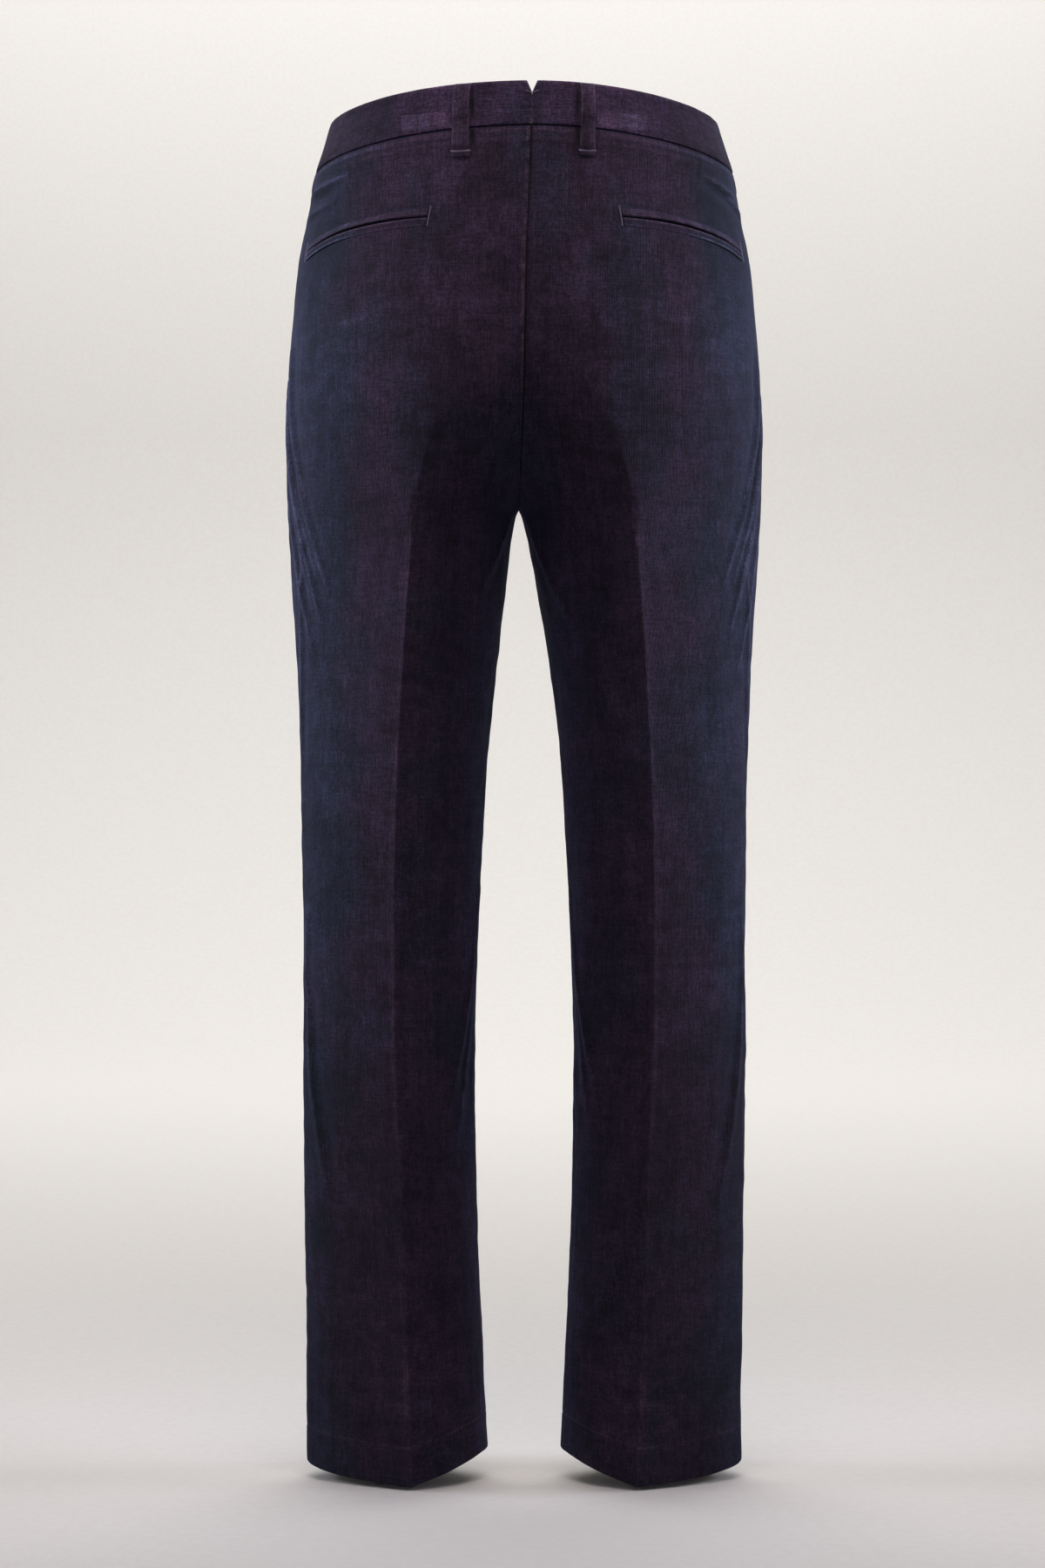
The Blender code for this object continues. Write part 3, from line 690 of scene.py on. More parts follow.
# The waistband's copy is paler: painted light, for the light that falls on its upturned face.
BAND_CORDUROY = corduroy("navy_needlecord_waistband", brightness=1.53, sheen=0.10, patch=True)
DULL = {"Roughness": 1.0, "Specular IOR Level": 0.0}
# A near-black sheet in the pocket slits: painted shade.
POCKET_SLIT_SHADE = fibres("pocket_slit_painted_shade", "#0c0b0f", 1800.0, DULL)
DARK_THREAD = thread("thread_dark_plum", "#3b2c40")
PALE_THREAD = thread("thread_faded_lavender", "#665976")
BUTTON_PLASTIC = plastic("button_polyester", "#17161c")


# ---------------------------------------------------------------- panels
ROWS_ABOVE, ROWS_BELOW = 92, 175
TUCK_ROWS = (-0.0016, -0.0008, 0.0, 0.0006, 0.0012, 0.0018, 0.0026, 0.0036)  # by the waistband's seam
PULLED_TO = 0.098  # closer rows down to this drop, for the folds pulled from the waist
HEM_LINE_ROWS = (-0.0016, -0.0006, 0.0, 0.0006, 0.0016)
HEM_EDGE_ROWS = (0.0003, 0.0011, 0.0024)
SEAM_COLUMNS = (0.0014, 0.003, 0.005, 0.008, 0.013, 0.019, 0.026)  # by their share of the way round
CREASE_COLUMNS = (0.492, 0.4965, 0.5, 0.5035, 0.508)
LOOP_COLUMNS = tuple(np.arange(0.800, 0.880, 0.0035))  # in the shadow beside the back belt loops
LOOP_EDGE_LEFT, LOOP_EDGE_RIGHT = 0.0429, 0.0440  # from the centre to the back belt loops' inner edges
LOOP_SHADOW, LOOP_SHADOW_END = 0.0017, 0.0410
SEAM_DIP, SEAM_RIDGE, SEAM_PUCKER = 0.0009, 0.0004, 0.0004  # along the panels' seams
HEM_STEP, HEM_ROLL = 0.0002, 0.0010  # at the hem's stitches and its edge
TUCKED_IN, FULL_BELOW = 0.0021, 0.0007  # under the waistband and just below it
INNER_SHADE = 0.17  # of the leg inside the pressed crease
WAIST_SHADE = 0.40
CALF_SHADE = 0.22


def panel_shares():
    fine = np.arange(0.035, 0.30, 0.0048)
    medium = np.arange(0.30, 0.965, 0.0135)
    middle = np.concatenate((fine, medium))
    middle = middle[np.abs(middle - 0.5) > 0.012]
    edges = ([0.0, 1.0], SEAM_COLUMNS, 1 - np.array(SEAM_COLUMNS), CREASE_COLUMNS, LOOP_COLUMNS)
    return np.unique(np.concatenate((*edges, middle)))


def panel_drops():
    above = SEAM + (FORK - SEAM) * (1 - (1 - np.arange(ROWS_ABOVE) / ROWS_ABOVE) ** 1.3)
    above = np.concatenate((np.arange(SEAM + 0.0050, PULLED_TO, 0.0017), above[above > PULLED_TO]))
    below = FORK + (HEM - FORK) * (np.arange(ROWS_BELOW + 1) / ROWS_BELOW) ** 1.25
    below = below[(below < HEM - 0.004) & (np.abs(HEM - HEM_TURN_UP - below) > 0.003)]
    top = [SEAM + row for row in TUCK_ROWS]
    line = [HEM - HEM_TURN_UP + row for row in HEM_LINE_ROWS]
    edge = [HEM - row for row in (*HEM_EDGE_ROWS, 0.0)]
    return np.unique(np.concatenate((top, above, below, line, edge)))


def beside_loop(points):
    """How deep these points lie in the shadow beside the back belt loops, where the strip stands off."""
    edge = np.where(points[..., 0] > 0, LOOP_EDGE_LEFT, LOOP_EDGE_RIGHT)
    return bell(np.abs(points[..., 0]) - edge + LOOP_SHADOW, LOOP_SHADOW) * (points[..., 1] > 0)


def painted_sheen_at(points, drop):
    """Painted blue sheen towards the sides, most of all at the hips and thighs."""
    lower = ramp(drop, 0.62, 0.07)
    from_middle = np.abs(points[..., 0])
    return ramp(from_middle, 0.118 + 0.026 * lower, 0.047 - 0.020 * lower) * (1 - 0.35 * lower)


def grain(face, base, way, drop):
    """How far each point lies across the cords, which run down beside the pressed crease."""
    across = []
    for points, reach, level in zip(base, way, drop):
        crease = ring(face, np.array(QUARTER), np.array(max(level.mean(), FORK)))[0]
        across.append(reach - np.interp(crease, np.abs(points[::-1, 0]), reach[::-1]))
    return np.array(across)


Place = namedtuple("Place", "turn drop side_drop share from_side from_inseam up")


def relief(side, face, at):
    """How far the seams, their pucker and the turned-up hem move a panel in or out."""
    out = 0.0
    by_fork = ramp(np.abs(at.side_drop - FORK), 0, 0.05)
    centre_seed = np.where(at.side_drop < FORK, 23.0 * face, 31.0 * side)
    seams = ((at.from_side, 11.0 * side, 1.0), (at.from_inseam, centre_seed, by_fork))
    for distance, seed, depth in seams:
        pucker = SEAM_PUCKER * waves(at.drop, seed, 0, 95.0, 0.5) * bell(distance - 0.002, 0.0065)
        out = out + depth * (pucker - SEAM_DIP * bell(distance, 0.0013))
        out = out + SEAM_RIDGE * bell(distance - 0.0065, 0.0045)
    step = ramp(at.up, HEM_TURN_UP, -0.0016) - bell(at.up - HEM_TURN_UP, 0.0009)
    tucked_in = ramp(at.side_drop, SEAM + 0.0020, -0.0028)
    below_band = bell(at.side_drop - SEAM - 0.0115, 0.0022) * ramp(at.from_side, 0.05, 0.04)
    out = out + HEM_STEP * step - HEM_ROLL * bell(at.up, 0.0009)
    return out - TUCKED_IN * tucked_in + FULL_BELOW * below_band


def wear_and_painted_light(side, face, at, base, points):
    """Where a panel is rubbed paler, pale on its creases from rubbing and painted highlight, darkened by
    painted shade and shadow, and bluer by painted sheen.
    """
    turn, drop, below_seam = at.turn, at.drop, at.side_drop - SEAM
    crest = creases(side, face, turn, drop)[1]
    seat_edge = bell(at.from_inseam - 0.0022, 0.0013) * ramp(at.side_drop, FORK - 0.07, -0.05)
    flecks = np.clip(0.30 + waves(*np.moveaxis(points, -1, 0), 260.0, 3.0), 0, 1)
    pressed = bell(0.25 * (0.5 - at.share) - 0.0015, 0.0025) * ramp(drop, 0.27, 0.08)
    below_band = bell(below_seam - 0.0115, 0.0016) * ramp(at.from_side, 0.05, 0.04)
    rubbed = seat_edge * flecks * (face == BACK) * (side == LEFT) + 0.12 * crest
    rubbed += 0.22 * bell(below_seam - 0.0040, 0.0012)
    rubbed += 0.16 * bell(at.up - HEM_TURN_UP - 0.0006, 0.0008)
    rubbed += (0.10 if face == BACK else 0.05) * pressed + 0.07 * below_band * (face == BACK)
    # Pale crests, partly rubbed and partly painted highlight, most on the outer sides and under the
    # waistband.
    outer = 0.36 * ramp(turn, 1.15, -0.2) * (1 - 0.75 * ramp(drop, 0.42, 0.1))
    crest_wear_and_highlight = np.clip(crest, 0, 1.3) * (outer + 0.16 * ramp(turn, 2.1, 0.2))
    crest_wear_and_highlight = crest_wear_and_highlight + 0.22 * bell(below_seam - 0.0045, 0.0012) * ramp(turn, 1.0, -0.3)
    # Painted shade: inside the pressed crease, down the calves and at the waist's sides, where less
    # light falls.
    inner = ramp(at.share, 0.4985, 0.005) * ramp(drop, 0.190, 0.045)
    inner *= (1 - 0.85 * ramp(at.share, 0.55, 0.4)) * (1.0 if face == BACK else 0.4)
    calf = ramp(drop, 0.68, 0.12) * ramp(at.share, 0.02, 0.05) * (at.share < 0.5)
    waist = ramp(turn, 1.15, -0.6) * ramp(drop, 0.20, -0.12)
    soft = INNER_SHADE * inner + CALF_SHADE * calf + WAIST_SHADE * waist
    # Painted shade in the seam ditches and the trough under the waistband, and a painted shadow beside
    # the back belt loops.
    seams = 0.75 * bell(at.from_inseam, 0.0009) + 0.5 * bell(at.from_side, 0.0008)
    pulled = ramp(at.from_side, 0.06, 0.05) * ramp(at.from_inseam, 0.048, 0.015)
    seams += 0.45 * ramp(below_seam, 0.0012, -0.0010)
    seams += 0.35 * pulled * (face == BACK) * bell(below_seam - 0.0088, 0.0011)
    by_loop = beside_loop(base) * ramp(below_seam, 0.0005, 0.001)
    by_loop = by_loop * ramp(drop, LOOP_SHADOW_END, -0.008)
    shaded = soft + (1 - soft) * np.clip(seams + 0.9 * by_loop, 0, 0.9)
    # Painted blue sheen, also towards the inseam.
    inseam = ramp(at.share, 0.75, 0.25) * ramp(drop, FORK, 0.1)
    return {
        "rubbed": np.clip(rubbed, 0, 1),
        "crest_wear_and_highlight": crest_wear_and_highlight,
        "shaded": np.clip(shaded, 0, 0.95),
        "sheen_and_dye_blue": painted_sheen_at(base, drop) + 0.5 * inseam,
    }


def panel(word, side, face):
    """Half of the front or back, with its leg, as one sheet with its thickness inwards."""
    side_drop, share = np.meshgrid(panel_drops(), panel_shares(), indexing="ij")
    turn = column_turn(share, side_drop)
    drop = side_drop - waist_lift(face, turn, side_drop) + hem_fall(face, turn, side_drop)
    turn = np.where(side_drop < FORK, np.minimum(turn, end_turn(drop)), turn)
    base = cloth_point(side, face, turn, drop, creased=False)
    steps = np.linalg.norm(np.diff(base, axis=1), axis=2)
    way = np.concatenate((np.zeros((len(base), 1)), np.cumsum(steps, axis=1)), axis=1)
    at = Place(turn, drop, side_drop, share, way, way[:, -1:] - way, HEM - side_drop)
    points = cloth_point(side, face, turn, drop, relief(side, face, at))
    met = (side_drop < FORK) & (share == 1.0)
    points[met, 0] = section_at(drop[met]).sway
    name = f"{'back' if face == BACK else 'front'}_{word}"
    faces = grid_faces(*share.shape, flip=side * face == LEFT * BACK)
    uv = flat_place(grain(face, base, way, drop), drop)
    values = wear_and_painted_light(side, face, at, base, points)
    made = add_mesh(f"{name}_cloth", points.reshape(-1, 3), faces, CORDUROY, uv, values)
    doubled = made.vertex_groups.new(name="turned_up")
    weights = ramp(at.up, HEM_TURN_UP, -0.0015).ravel()
    for i in np.nonzero(weights > 0.01)[0]:
        doubled.add([int(i)], float(weights[i]), "REPLACE")
    wall = give_thickness(made, HEM_CLOTH)
    wall.vertex_group = "turned_up"
    wall.thickness_vertex_group = CLOTH / HEM_CLOTH
    return stand_for(made, "corduroy", name)


PANELS = {(side, face): panel(word, side, face) for word, side in SIDES for face in (BACK, FRONT)}


# ---------------------------------------------------------------- waistband
def band_edges(face, turn):
    rise = np.sin(np.minimum(turn, QUARTER)) ** RISE_POWER
    return SEAM - SEAM_RISE[face] * rise - GAP / 2, -TOP_RISE[face] * rise


def band_lift(side, x):
    if side == RIGHT:
        return 0.0 * x
    return (BAND + 2 * GAP) * ramp(x, LIFT_FROM, LIFT_TO - LIFT_FROM)


def band_point(side, face, turn, share, out, from_centre=0.0):
    """Points of the waistband, by the share of its height from the top."""
    low, high = band_edges(face, turn)
    drop = high + (low - high) * share
    x = section_at(drop).outer * np.cos(turn)
    if face == FRONT:
        out = out + band_lift(side, x)
    spots = (turn * 0.16, drop, 2.0 * side + face)
    ripple = 0.00045 * waves(*spots, 38.0, 9.0) * ramp(share, 0, 0.3) + 0.0003 * waves(*spots, 90.0, 4.0)
    points = ring(face, turn, drop) + outward(face, turn, drop) * (BAND_PROUD + out + ripple)[..., None]
    if face == BACK:
        notch = NOTCH_HALF_WIDTH * (1 - (drop - high) / NOTCH_DEPTH)
        points[..., 0] = np.maximum(points[..., 0], np.maximum(0.0, notch) + from_centre)
    points[..., 0] *= side
    return sway(points)


BandEdge = namedtuple("BandEdge", "share out rubbed")
BAND_PROFILE = table(  # from the seam up the outside, over the rolled top edge and down the inside
    BandEdge,
    (1.000, -0.0008, 0.0),
    (0.985, -0.0002, 0.1),
    (0.955, 0.0001, 0.05),
    *((share / 100, 0.0001, 0.0) for share in (90, 82, 74, 66, 58, 50, 42, 34, 26, 18, 11)),
    (0.060, 0.0000, 0.1),
    (0.028, -0.0002, 0.35),
    (0.010, -0.0007, 0.5),
    (0.000, -0.0013, 0.4),
    (0.010, -0.0020, 0.1),
    (0.040, -0.0025, 0.0),
    *((share, -0.0026, 0.0) for share in (0.2, 0.4, 0.6, 0.8)),
    (1.000, -0.0024, 0.0),
)


BAND_SIDE_SHADE = 0.54
BAND_END_ROWS = (0.0, 0.0006, 0.0014, 0.0026, 0.0042, 0.0062)  # from the centre back
BAND_END_TURN = 0.046  # that these rows take up, in radians


def waistband(word, side):
    """One half of the waistband, from the centre back round to its end past the centre front."""
    share, out, edges = np.array(BAND_PROFILE).T[:, None, :]
    beside = LOOP_EDGE_LEFT + np.linspace(-0.0045, 0.0033, 11)
    by_loop = np.arccos(beside / section_at(SEAM / 2).outer)
    behind = np.sort(np.concatenate((QUARTER * (1 - np.linspace(0, 1, 74)[1:]), by_loop)))[::-1]
    behind = behind[behind < QUARTER - BAND_END_TURN - 0.002]
    lap = math.asin(UNDERLAP / section_at(SEAM).outer)
    ahead = np.linspace(0, QUARTER + lap, 84)[1:]
    rings = []
    for offset in BAND_END_ROWS:
        turn = QUARTER - BAND_END_TURN * offset / BAND_END_ROWS[-1] + 0 * share
        points = band_point(side, BACK, turn, share, out, offset)
        points[..., 1] -= 0.0008 * math.exp(-offset / 0.0009) * (out > -0.0013)
        rings.append(points[0])
    for face, turns in ((BACK, behind), (FRONT, ahead)):
        rings += [band_point(side, face, turn + 0 * share, share, out)[0] for turn in turns]
    rings = np.array(rings)
    steps = np.linalg.norm(np.diff(rings[:, 8], axis=0), axis=1)
    along, height = alike(np.concatenate(([0.0], np.cumsum(steps)))[:, None], share * BAND_HEIGHT)
    mottled = 0.6 + 0.8 * waves(along, height, 0, 60.0, 2.0)
    rubbed = edges * mottled + 0.3 * bell(along, 0.0010)
    # Painted shadow beside the back belt loops and painted shade on the band's sides.
    shadow = 0.92 * beside_loop(rings) * (out > -0.0010) * bell(share - 0.45, 0.42)
    shaded = BAND_SIDE_SHADE * ramp(np.abs(rings[..., 0]), 0.055, 0.075)
    values = {"rubbed": np.clip(rubbed, 0, 1), "shaded": shaded + (1 - shaded) * shadow}
    return loft(f"waistband_{word}", rings, BAND_CORDUROY, flat_place(height, along), values)


WAISTBANDS = {side: waistband(word, side) for word, side in SIDES}


# ---------------------------------------------------------------- belt loops
def loop_frame(loop, side, along, across, out):
    """Points of a belt loop, by the share of its length and of half its width."""
    turn = math.radians(loop.turn_left if side == LEFT else loop.turn_right)
    top = band_edges(loop.face, turn)[1] + LOOP_FROM_TOP
    here = ring(loop.face, np.array([turn - 0.01, turn + 0.01]), SEAM)
    half_angle = LOOP_WIDTH / 2 / (np.linalg.norm(here[1] - here[0]) / 0.02)
    stand = Stand(*through(along, LOOP_STAND))
    lifted = np.maximum(getattr(stand, loop.slack), 0.0)
    drop = top + along * loop.length
    turn = turn + math.radians(loop.lean) * (along - 0.5) + across * half_angle
    out = BAND_PROUD + GAP + lifted + out
    return cloth_point(side, loop.face, turn, drop, out, keep_seams=False, creased=False)


LoopEdge = namedtuple("LoopEdge", "across out rubbed")
LOOP_PROFILE = table(  # a strip folded in three, domed outside and rolled at its edges
    LoopEdge,
    (-1.00, 0.0009, 0.25),
    (-0.97, 0.0015, 0.25),
    (-0.88, 0.0018, 0.1),
    (-0.72, 0.0018, 0.0),
    (-0.40, 0.0020, 0.0),
    (0.00, 0.0021, 0.0),
    (0.40, 0.0020, 0.0),
    (0.72, 0.0018, 0.0),
    (0.88, 0.0018, 0.1),
    (0.97, 0.0015, 0.25),
    (1.00, 0.0009, 0.25),
    (0.97, 0.0003, 0.1),
    *((across, 0.0, 0.0) for across in (0.85, 0.30, -0.30, -0.85)),
    (-0.97, 0.0003, 0.1),
)


def belt_loop(word, side, loop):
    place, lifted, edges = np.array(LOOP_PROFILE).T
    outside = lifted > 0.0005
    along = np.concatenate(([0.0, 0.008, 0.02], np.linspace(0.035, 0.965, 40), [0.98, 0.992, 1.0]))
    ends = bell(np.minimum(along, 1 - along), 0.008)
    tacked = bell(along - 0.945, 0.010)
    narrowing = 1 - 0.05 * np.sin(math.pi * np.clip(along * 1.1, 0, 1)) - 0.06 * tacked
    rings = []
    for a, end, tack, width in zip(along, ends, tacked, narrowing):
        out = lifted * (1 - 0.45 * end) - 0.0005 * tack * outside
        out = out + 0.00012 * math.sin(9 * a + side) * outside
        rings.append(loop_frame(loop, side, a + 0 * place, place * width, out))
    uv = flat_place(place * LOOP_WIDTH / 2, (along * loop.length)[:, None])
    rubbed = 0.10 + edges + 0.5 * ends[:, None]
    # Painted shade along the loop's bend.
    bend = bell(along - (0.53 if loop.slack == "high" else 0.66), 0.012)
    values = {"rubbed": np.clip(rubbed, 0, 1), "shaded": 0.5 * bend[:, None]}
    return loft(f"belt_loop_{loop.name}_{word}", np.array(rings), CORDUROY, uv, values)


BELT_LOOPS = {(side, loop.name): belt_loop(word, side, loop) for word, side in SIDES for loop in LOOPS}


# ---------------------------------------------------------------- back pockets
def pocket_point(side, share, height, out):
    """Points of the pocket, by the share of its length from the inner end and how far below the slit."""
    share, height = alike(share, height)
    turn = np.radians(POCKET_TURN[0] + (POCKET_TURN[1] - POCKET_TURN[0]) * share)
    drop = POCKET_DROP + POCKET_SAG * share**2 + height
    return cloth_point(side, BACK, turn, drop, out)


# The last column is painted shade: dark at the slit's fold and in the ditch along the seam.
WeltEdge = namedtuple("WeltEdge", "height out rubbed shaded")
WELT_PROFILE = table(  # from the fold at the slit to the seam, and back underneath
    WeltEdge,
    (0.00, 0.0003, 0.0, 0.85),
    (0.02, 0.0010, 0.3, 0.40),
    (0.10, 0.0016, 0.7, 0.00),
    (0.22, 0.0016, 0.2, 0.00),
    (0.45, 0.0014, 0.0, 0.00),
    (0.70, 0.0012, 0.0, 0.00),
    (0.84, 0.0010, 0.2, 0.00),
    (0.91, 0.0007, 0.0, 0.70),
    (0.98, 0.0003, 0.0, 0.90),
    (1.05, 0.0000, 0.0, 0.85),
    (0.60, 0.0001, 0.0, 0.00),
    (0.20, 0.0001, 0.0, 0.00),
)
MOUTH = 0.0021  # how far the pocket's folded edges stand apart


def pocket_welt(word, side, name, direction):
    """One of the two strips that bind the pocket. The lower one's seam lies flat on its inner half."""
    lower = direction > 0
    across, lifted, edges, shadow = np.array(WELT_PROFILE).T
    along = np.linspace(0.0, 1.0, 84)
    crisp = ramp(along, 0.40, 0.35) if lower else np.ones(along.shape)
    tall = 1.0 if lower else 1.12 - 0.22 * ramp(along, 0, 0.45) + 0.08 * ramp(along, 0.6, 0.4)
    rings = []
    for a, sharp, reach in zip(along, crisp, tall + 0 * along):
        slack = 0.0003 * math.sin(11 * a + side) * math.sin(math.pi * a)
        open_by = MOUTH / 2 * (0.35 + 0.65 * math.sin(math.pi * min(a * 1.08 + 0.02, 1.0)) ** 0.6)
        height = direction * (open_by + (WELT_HEIGHT * reach - open_by) * across)
        flat = lifted * (1 - across * (1 - sharp if lower else 0.55))
        rings.append(pocket_point(side, a, height, GAP * 0.5 + flat + slack * (lifted > 0.0008)))
    uv = flat_place(across * WELT_HEIGHT, (along * POCKET_LENGTH)[:, None])
    # A pale line along the lower welt's seam ridge, partly rubbed and partly painted highlight; painted
    # shade from the profile, and painted blue sheen towards the outer end.
    ridge = 0.6 * ((across > 0.8) & (across < 0.9))
    values = {
        "rubbed": edges * 0.7 if lower else edges * 0.15 + 0.14,
        "sheen_and_dye_blue": ramp(along, 0.1, 0.6)[:, None],
        "shaded": np.where(across > 0.9, shadow * crisp[:, None], shadow),
        "crest_wear_and_highlight": ridge * crisp[:, None] * lower,
    }
    return loft(f"pocket_welt_{name}_{word}", np.array(rings), CORDUROY, uv, values)


WELTS = {
    (side, name): pocket_welt(word, side, name, direction)
    for word, side in SIDES
    for name, direction in (("upper", -1), ("lower", 1))
}


def pocket_slit_shade(word, side):
    """A near-black sheet between the welts, where the pocket's facing lies: painted shade for the slit's
    depth.
    """
    along, height = np.linspace(0.0, 1.0, 84)[:, None], np.linspace(-0.0053, 0.0053, 15)[None, :]
    points = pocket_point(side, along, height, 0.0001 + 0.0004 * bell(height, 0.0022))
    faces = grid_faces(*points.shape[:2], flip=side == LEFT)
    uv = flat_place(height, along * POCKET_LENGTH)
    made = add_mesh(f"pocket_facing_{word}", points.reshape(-1, 3), faces, POCKET_SLIT_SHADE, uv)
    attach(made, "root")
    return made


SLIT_SHADES = [pocket_slit_shade(word, side) for word, side in SIDES]


# ---------------------------------------------------------------- fly
def front_at(x, drop, out):
    """Points this far out from the front panels, this far to the wearer's left of the fly seam."""
    x, drop = alike(x, drop)
    middle, half = oval(section_at(drop))
    turn = np.arccos(np.clip((np.abs(x) - middle) / half, -1, 1))
    left = cloth_point(LEFT, FRONT, turn, drop, out, keep_seams=False)
    right = cloth_point(RIGHT, FRONT, turn, drop, out, keep_seams=False)
    return np.where((x >= 0)[..., None], left, right)


def fly_edge(side_drop):
    curve = np.maximum((side_drop - FLY_STRAIGHT_TO) / (FLY_END + 0.004 - FLY_STRAIGHT_TO), 0.0)
    return (FLY_PAST_CENTRE + FLY_WIDTH) * np.sqrt(np.maximum(1 - curve**2, 0.0))


def fly_flap():
    """The flap over the fly, straight down the centre and curved in at its lower end."""
    side_drop, share = np.meshgrid(np.linspace(SEAM, FLY_END, 70), np.linspace(0, 1, 26), indexing="ij")
    x = fly_edge(side_drop) * share - FLY_PAST_CENTRE
    drop = side_drop - waist_lift(FRONT, QUARTER, side_drop) + 2 * GAP * (side_drop == SEAM)
    edge = np.minimum(share, 1 - share) * fly_edge(side_drop)
    points = front_at(x, drop, GAP + FLY_CLOTH - 0.0007 * bell(edge, 0.0010)).reshape(-1, 3)
    faces = grid_faces(*share.shape, flip=True)
    values = {"rubbed": 0.5 * bell(edge, 0.0016)}
    made = add_mesh("fly_flap_cloth", points, faces, CORDUROY, flat_place(x, drop), values)
    give_thickness(made, FLY_CLOTH - 0.0001)
    return stand_for(made, "corduroy", "fly_flap")


FLY = fly_flap()


# ---------------------------------------------------------------- stitches
def stitch_nodes():
    """A stitch at every step along the lines, along them or across them, as one mesh."""
    tree = bpy.data.node_groups.new("stitches", "GeometryNodeTree")
    for name, way, kind in (
        ("Lines", "INPUT", "Geometry"),
        ("Pitch", "INPUT", "Float"),
        ("Size", "INPUT", "Vector"),
        ("Slant", "INPUT", "Float"),
        ("Thread", "INPUT", "Material"),
        ("Stitches", "OUTPUT", "Geometry"),
    ):
        tree.interface.new_socket(name, in_out=way, socket_type=f"NodeSocket{kind}")

    def vectors(operation, inputs):
        return add_node(tree, "ShaderNodeVectorMath", inputs, operation=operation).outputs[0]

    given = add_node(tree, "NodeGroupInput").outputs
    lines = add_node(tree, "GeometryNodeMeshToCurve", {"Mesh": given["Lines"]}).outputs[0]
    steps = {"Curve": lines, "Length": given["Pitch"]}
    stepped = add_node(tree, "GeometryNodeResampleCurve", steps, mode="LENGTH").outputs[0]
    ball = {"Segments": 6, "Rings": 4, "Radius": 0.5}
    stitch = add_node(tree, "GeometryNodeMeshUVSphere", ball).outputs["Mesh"]
    along = add_node(tree, "GeometryNodeInputTangent").outputs[0]
    up = add_node(tree, "GeometryNodeInputNamedAttribute", {"Name": "up"}, data_type="FLOAT_VECTOR")
    across = vectors("CROSS_PRODUCT", {0: along, 1: up.outputs[0]})
    forward = vectors("SCALE", {0: along, 3: maths(tree, "COSINE", given["Slant"])})
    sideways = vectors("SCALE", {0: across, 3: maths(tree, "SINE", given["Slant"])})
    way = vectors("ADD", {0: forward, 1: sideways})
    turned = add_node(tree, "FunctionNodeAlignRotationToVector", {"Vector": way}, axis="Z").outputs[0]
    copies = {"Points": stepped, "Instance": stitch, "Rotation": turned, "Scale": given["Size"]}
    placed = add_node(tree, "GeometryNodeInstanceOnPoints", copies).outputs[0]
    real = add_node(tree, "GeometryNodeRealizeInstances", {0: placed}).outputs[0]
    finish = {"Geometry": real, "Material": given["Thread"]}
    sewn = add_node(tree, "GeometryNodeSetMaterial", finish).outputs[0]
    add_node(tree, "NodeGroupOutput", {"Stitches": sewn})
    return tree


STITCHES = stitch_nodes()


def sew(name, lines, pitch, size, slant, finish):
    """Stitches along lines, each a row of points and the cloth's outward direction at each point."""
    points, edges, ups = [], [], []
    for line, up in lines:
        start = len(points)
        points += [tuple(p) for p in line]
        ups += [tuple(u) for u in up]
        edges += [(i, i + 1) for i in range(start, len(points) - 1)]
    mesh = bpy.data.meshes.new(f"{name}_lines")
    mesh.from_pydata(points, edges, [])
    mesh.attributes.new("up", "FLOAT_VECTOR", "POINT").data.foreach_set("vector", np.array(ups).ravel())
    rows = place_object(f"{name}_lines", mesh)
    sewing = rows.modifiers.new("stitches", "NODES")
    sewing.node_group = STITCHES
    values = {"Pitch": pitch, "Size": size, "Slant": slant, "Thread": finish}
    for item in STITCHES.interface.items_tree:
        if item.name in values:
            sewing[item.identifier] = values[item.name]
    bpy.context.view_layer.update()
    sewn = bpy.data.meshes.new_from_object(rows.evaluated_get(bpy.context.evaluated_depsgraph_get()))
    bpy.data.objects.remove(rows)
    sewn.name = name
    sewn.shade_smooth()
    made = place_object(name, sewn)
    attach(made, "root")
    return made


def row_on(place, inside, step=0.0004):
    """A line given by its points on the cloth and further out from it."""
    line, higher = place(inside), place(inside + step)
    up = higher - line
    return line, up / np.linalg.norm(up, axis=-1, keepdims=True)


def seat_row():
    drop = np.linspace(0.028, FORK - 0.004, 150)
    return row_on(lambda out: cloth_point(LEFT, BACK, end_turn(drop) - 0.0065, drop, out), -0.0002)


def band_centre_row():
    share = np.linspace(0.30, 0.97, 24)
    turn = QUARTER - 0.009 + 0 * share
    return row_on(lambda out: band_point(LEFT, BACK, turn, share, out), -0.0003)


def hem_row(side, face):
    turn = np.radians(np.linspace(1.0, 179.0, 110))
    side_drop = HEM - HEM_TURN_UP
    drop = side_drop + hem_fall(face, turn, HEM + 0 * turn)
    return row_on(lambda out: cloth_point(side, face, turn, drop, out), -0.0002)


def fly_row():
    side_drop = np.linspace(SEAM + 0.001, FLY_END - 0.006, 80)
    x = fly_edge(side_drop) - FLY_PAST_CENTRE - 0.0045
    drop = side_drop - waist_lift(FRONT, QUARTER, side_drop)
    return row_on(lambda out: front_at(np.maximum(x, 0.001), drop, out), GAP + FLY_CLOTH)


def loop_tack(loop, side):
    across = np.linspace(-1.08, 1.08, 14)
    return row_on(lambda out: loop_frame(loop, side, np.full(14, 0.945), across, out), 0.0017)


def pocket_tack(side, share):
    height = np.linspace(-WELT_HEIGHT - 0.0010, WELT_HEIGHT + 0.0004, 20)
    return row_on(lambda out: pocket_point(side, share, height, out), 0.0017)


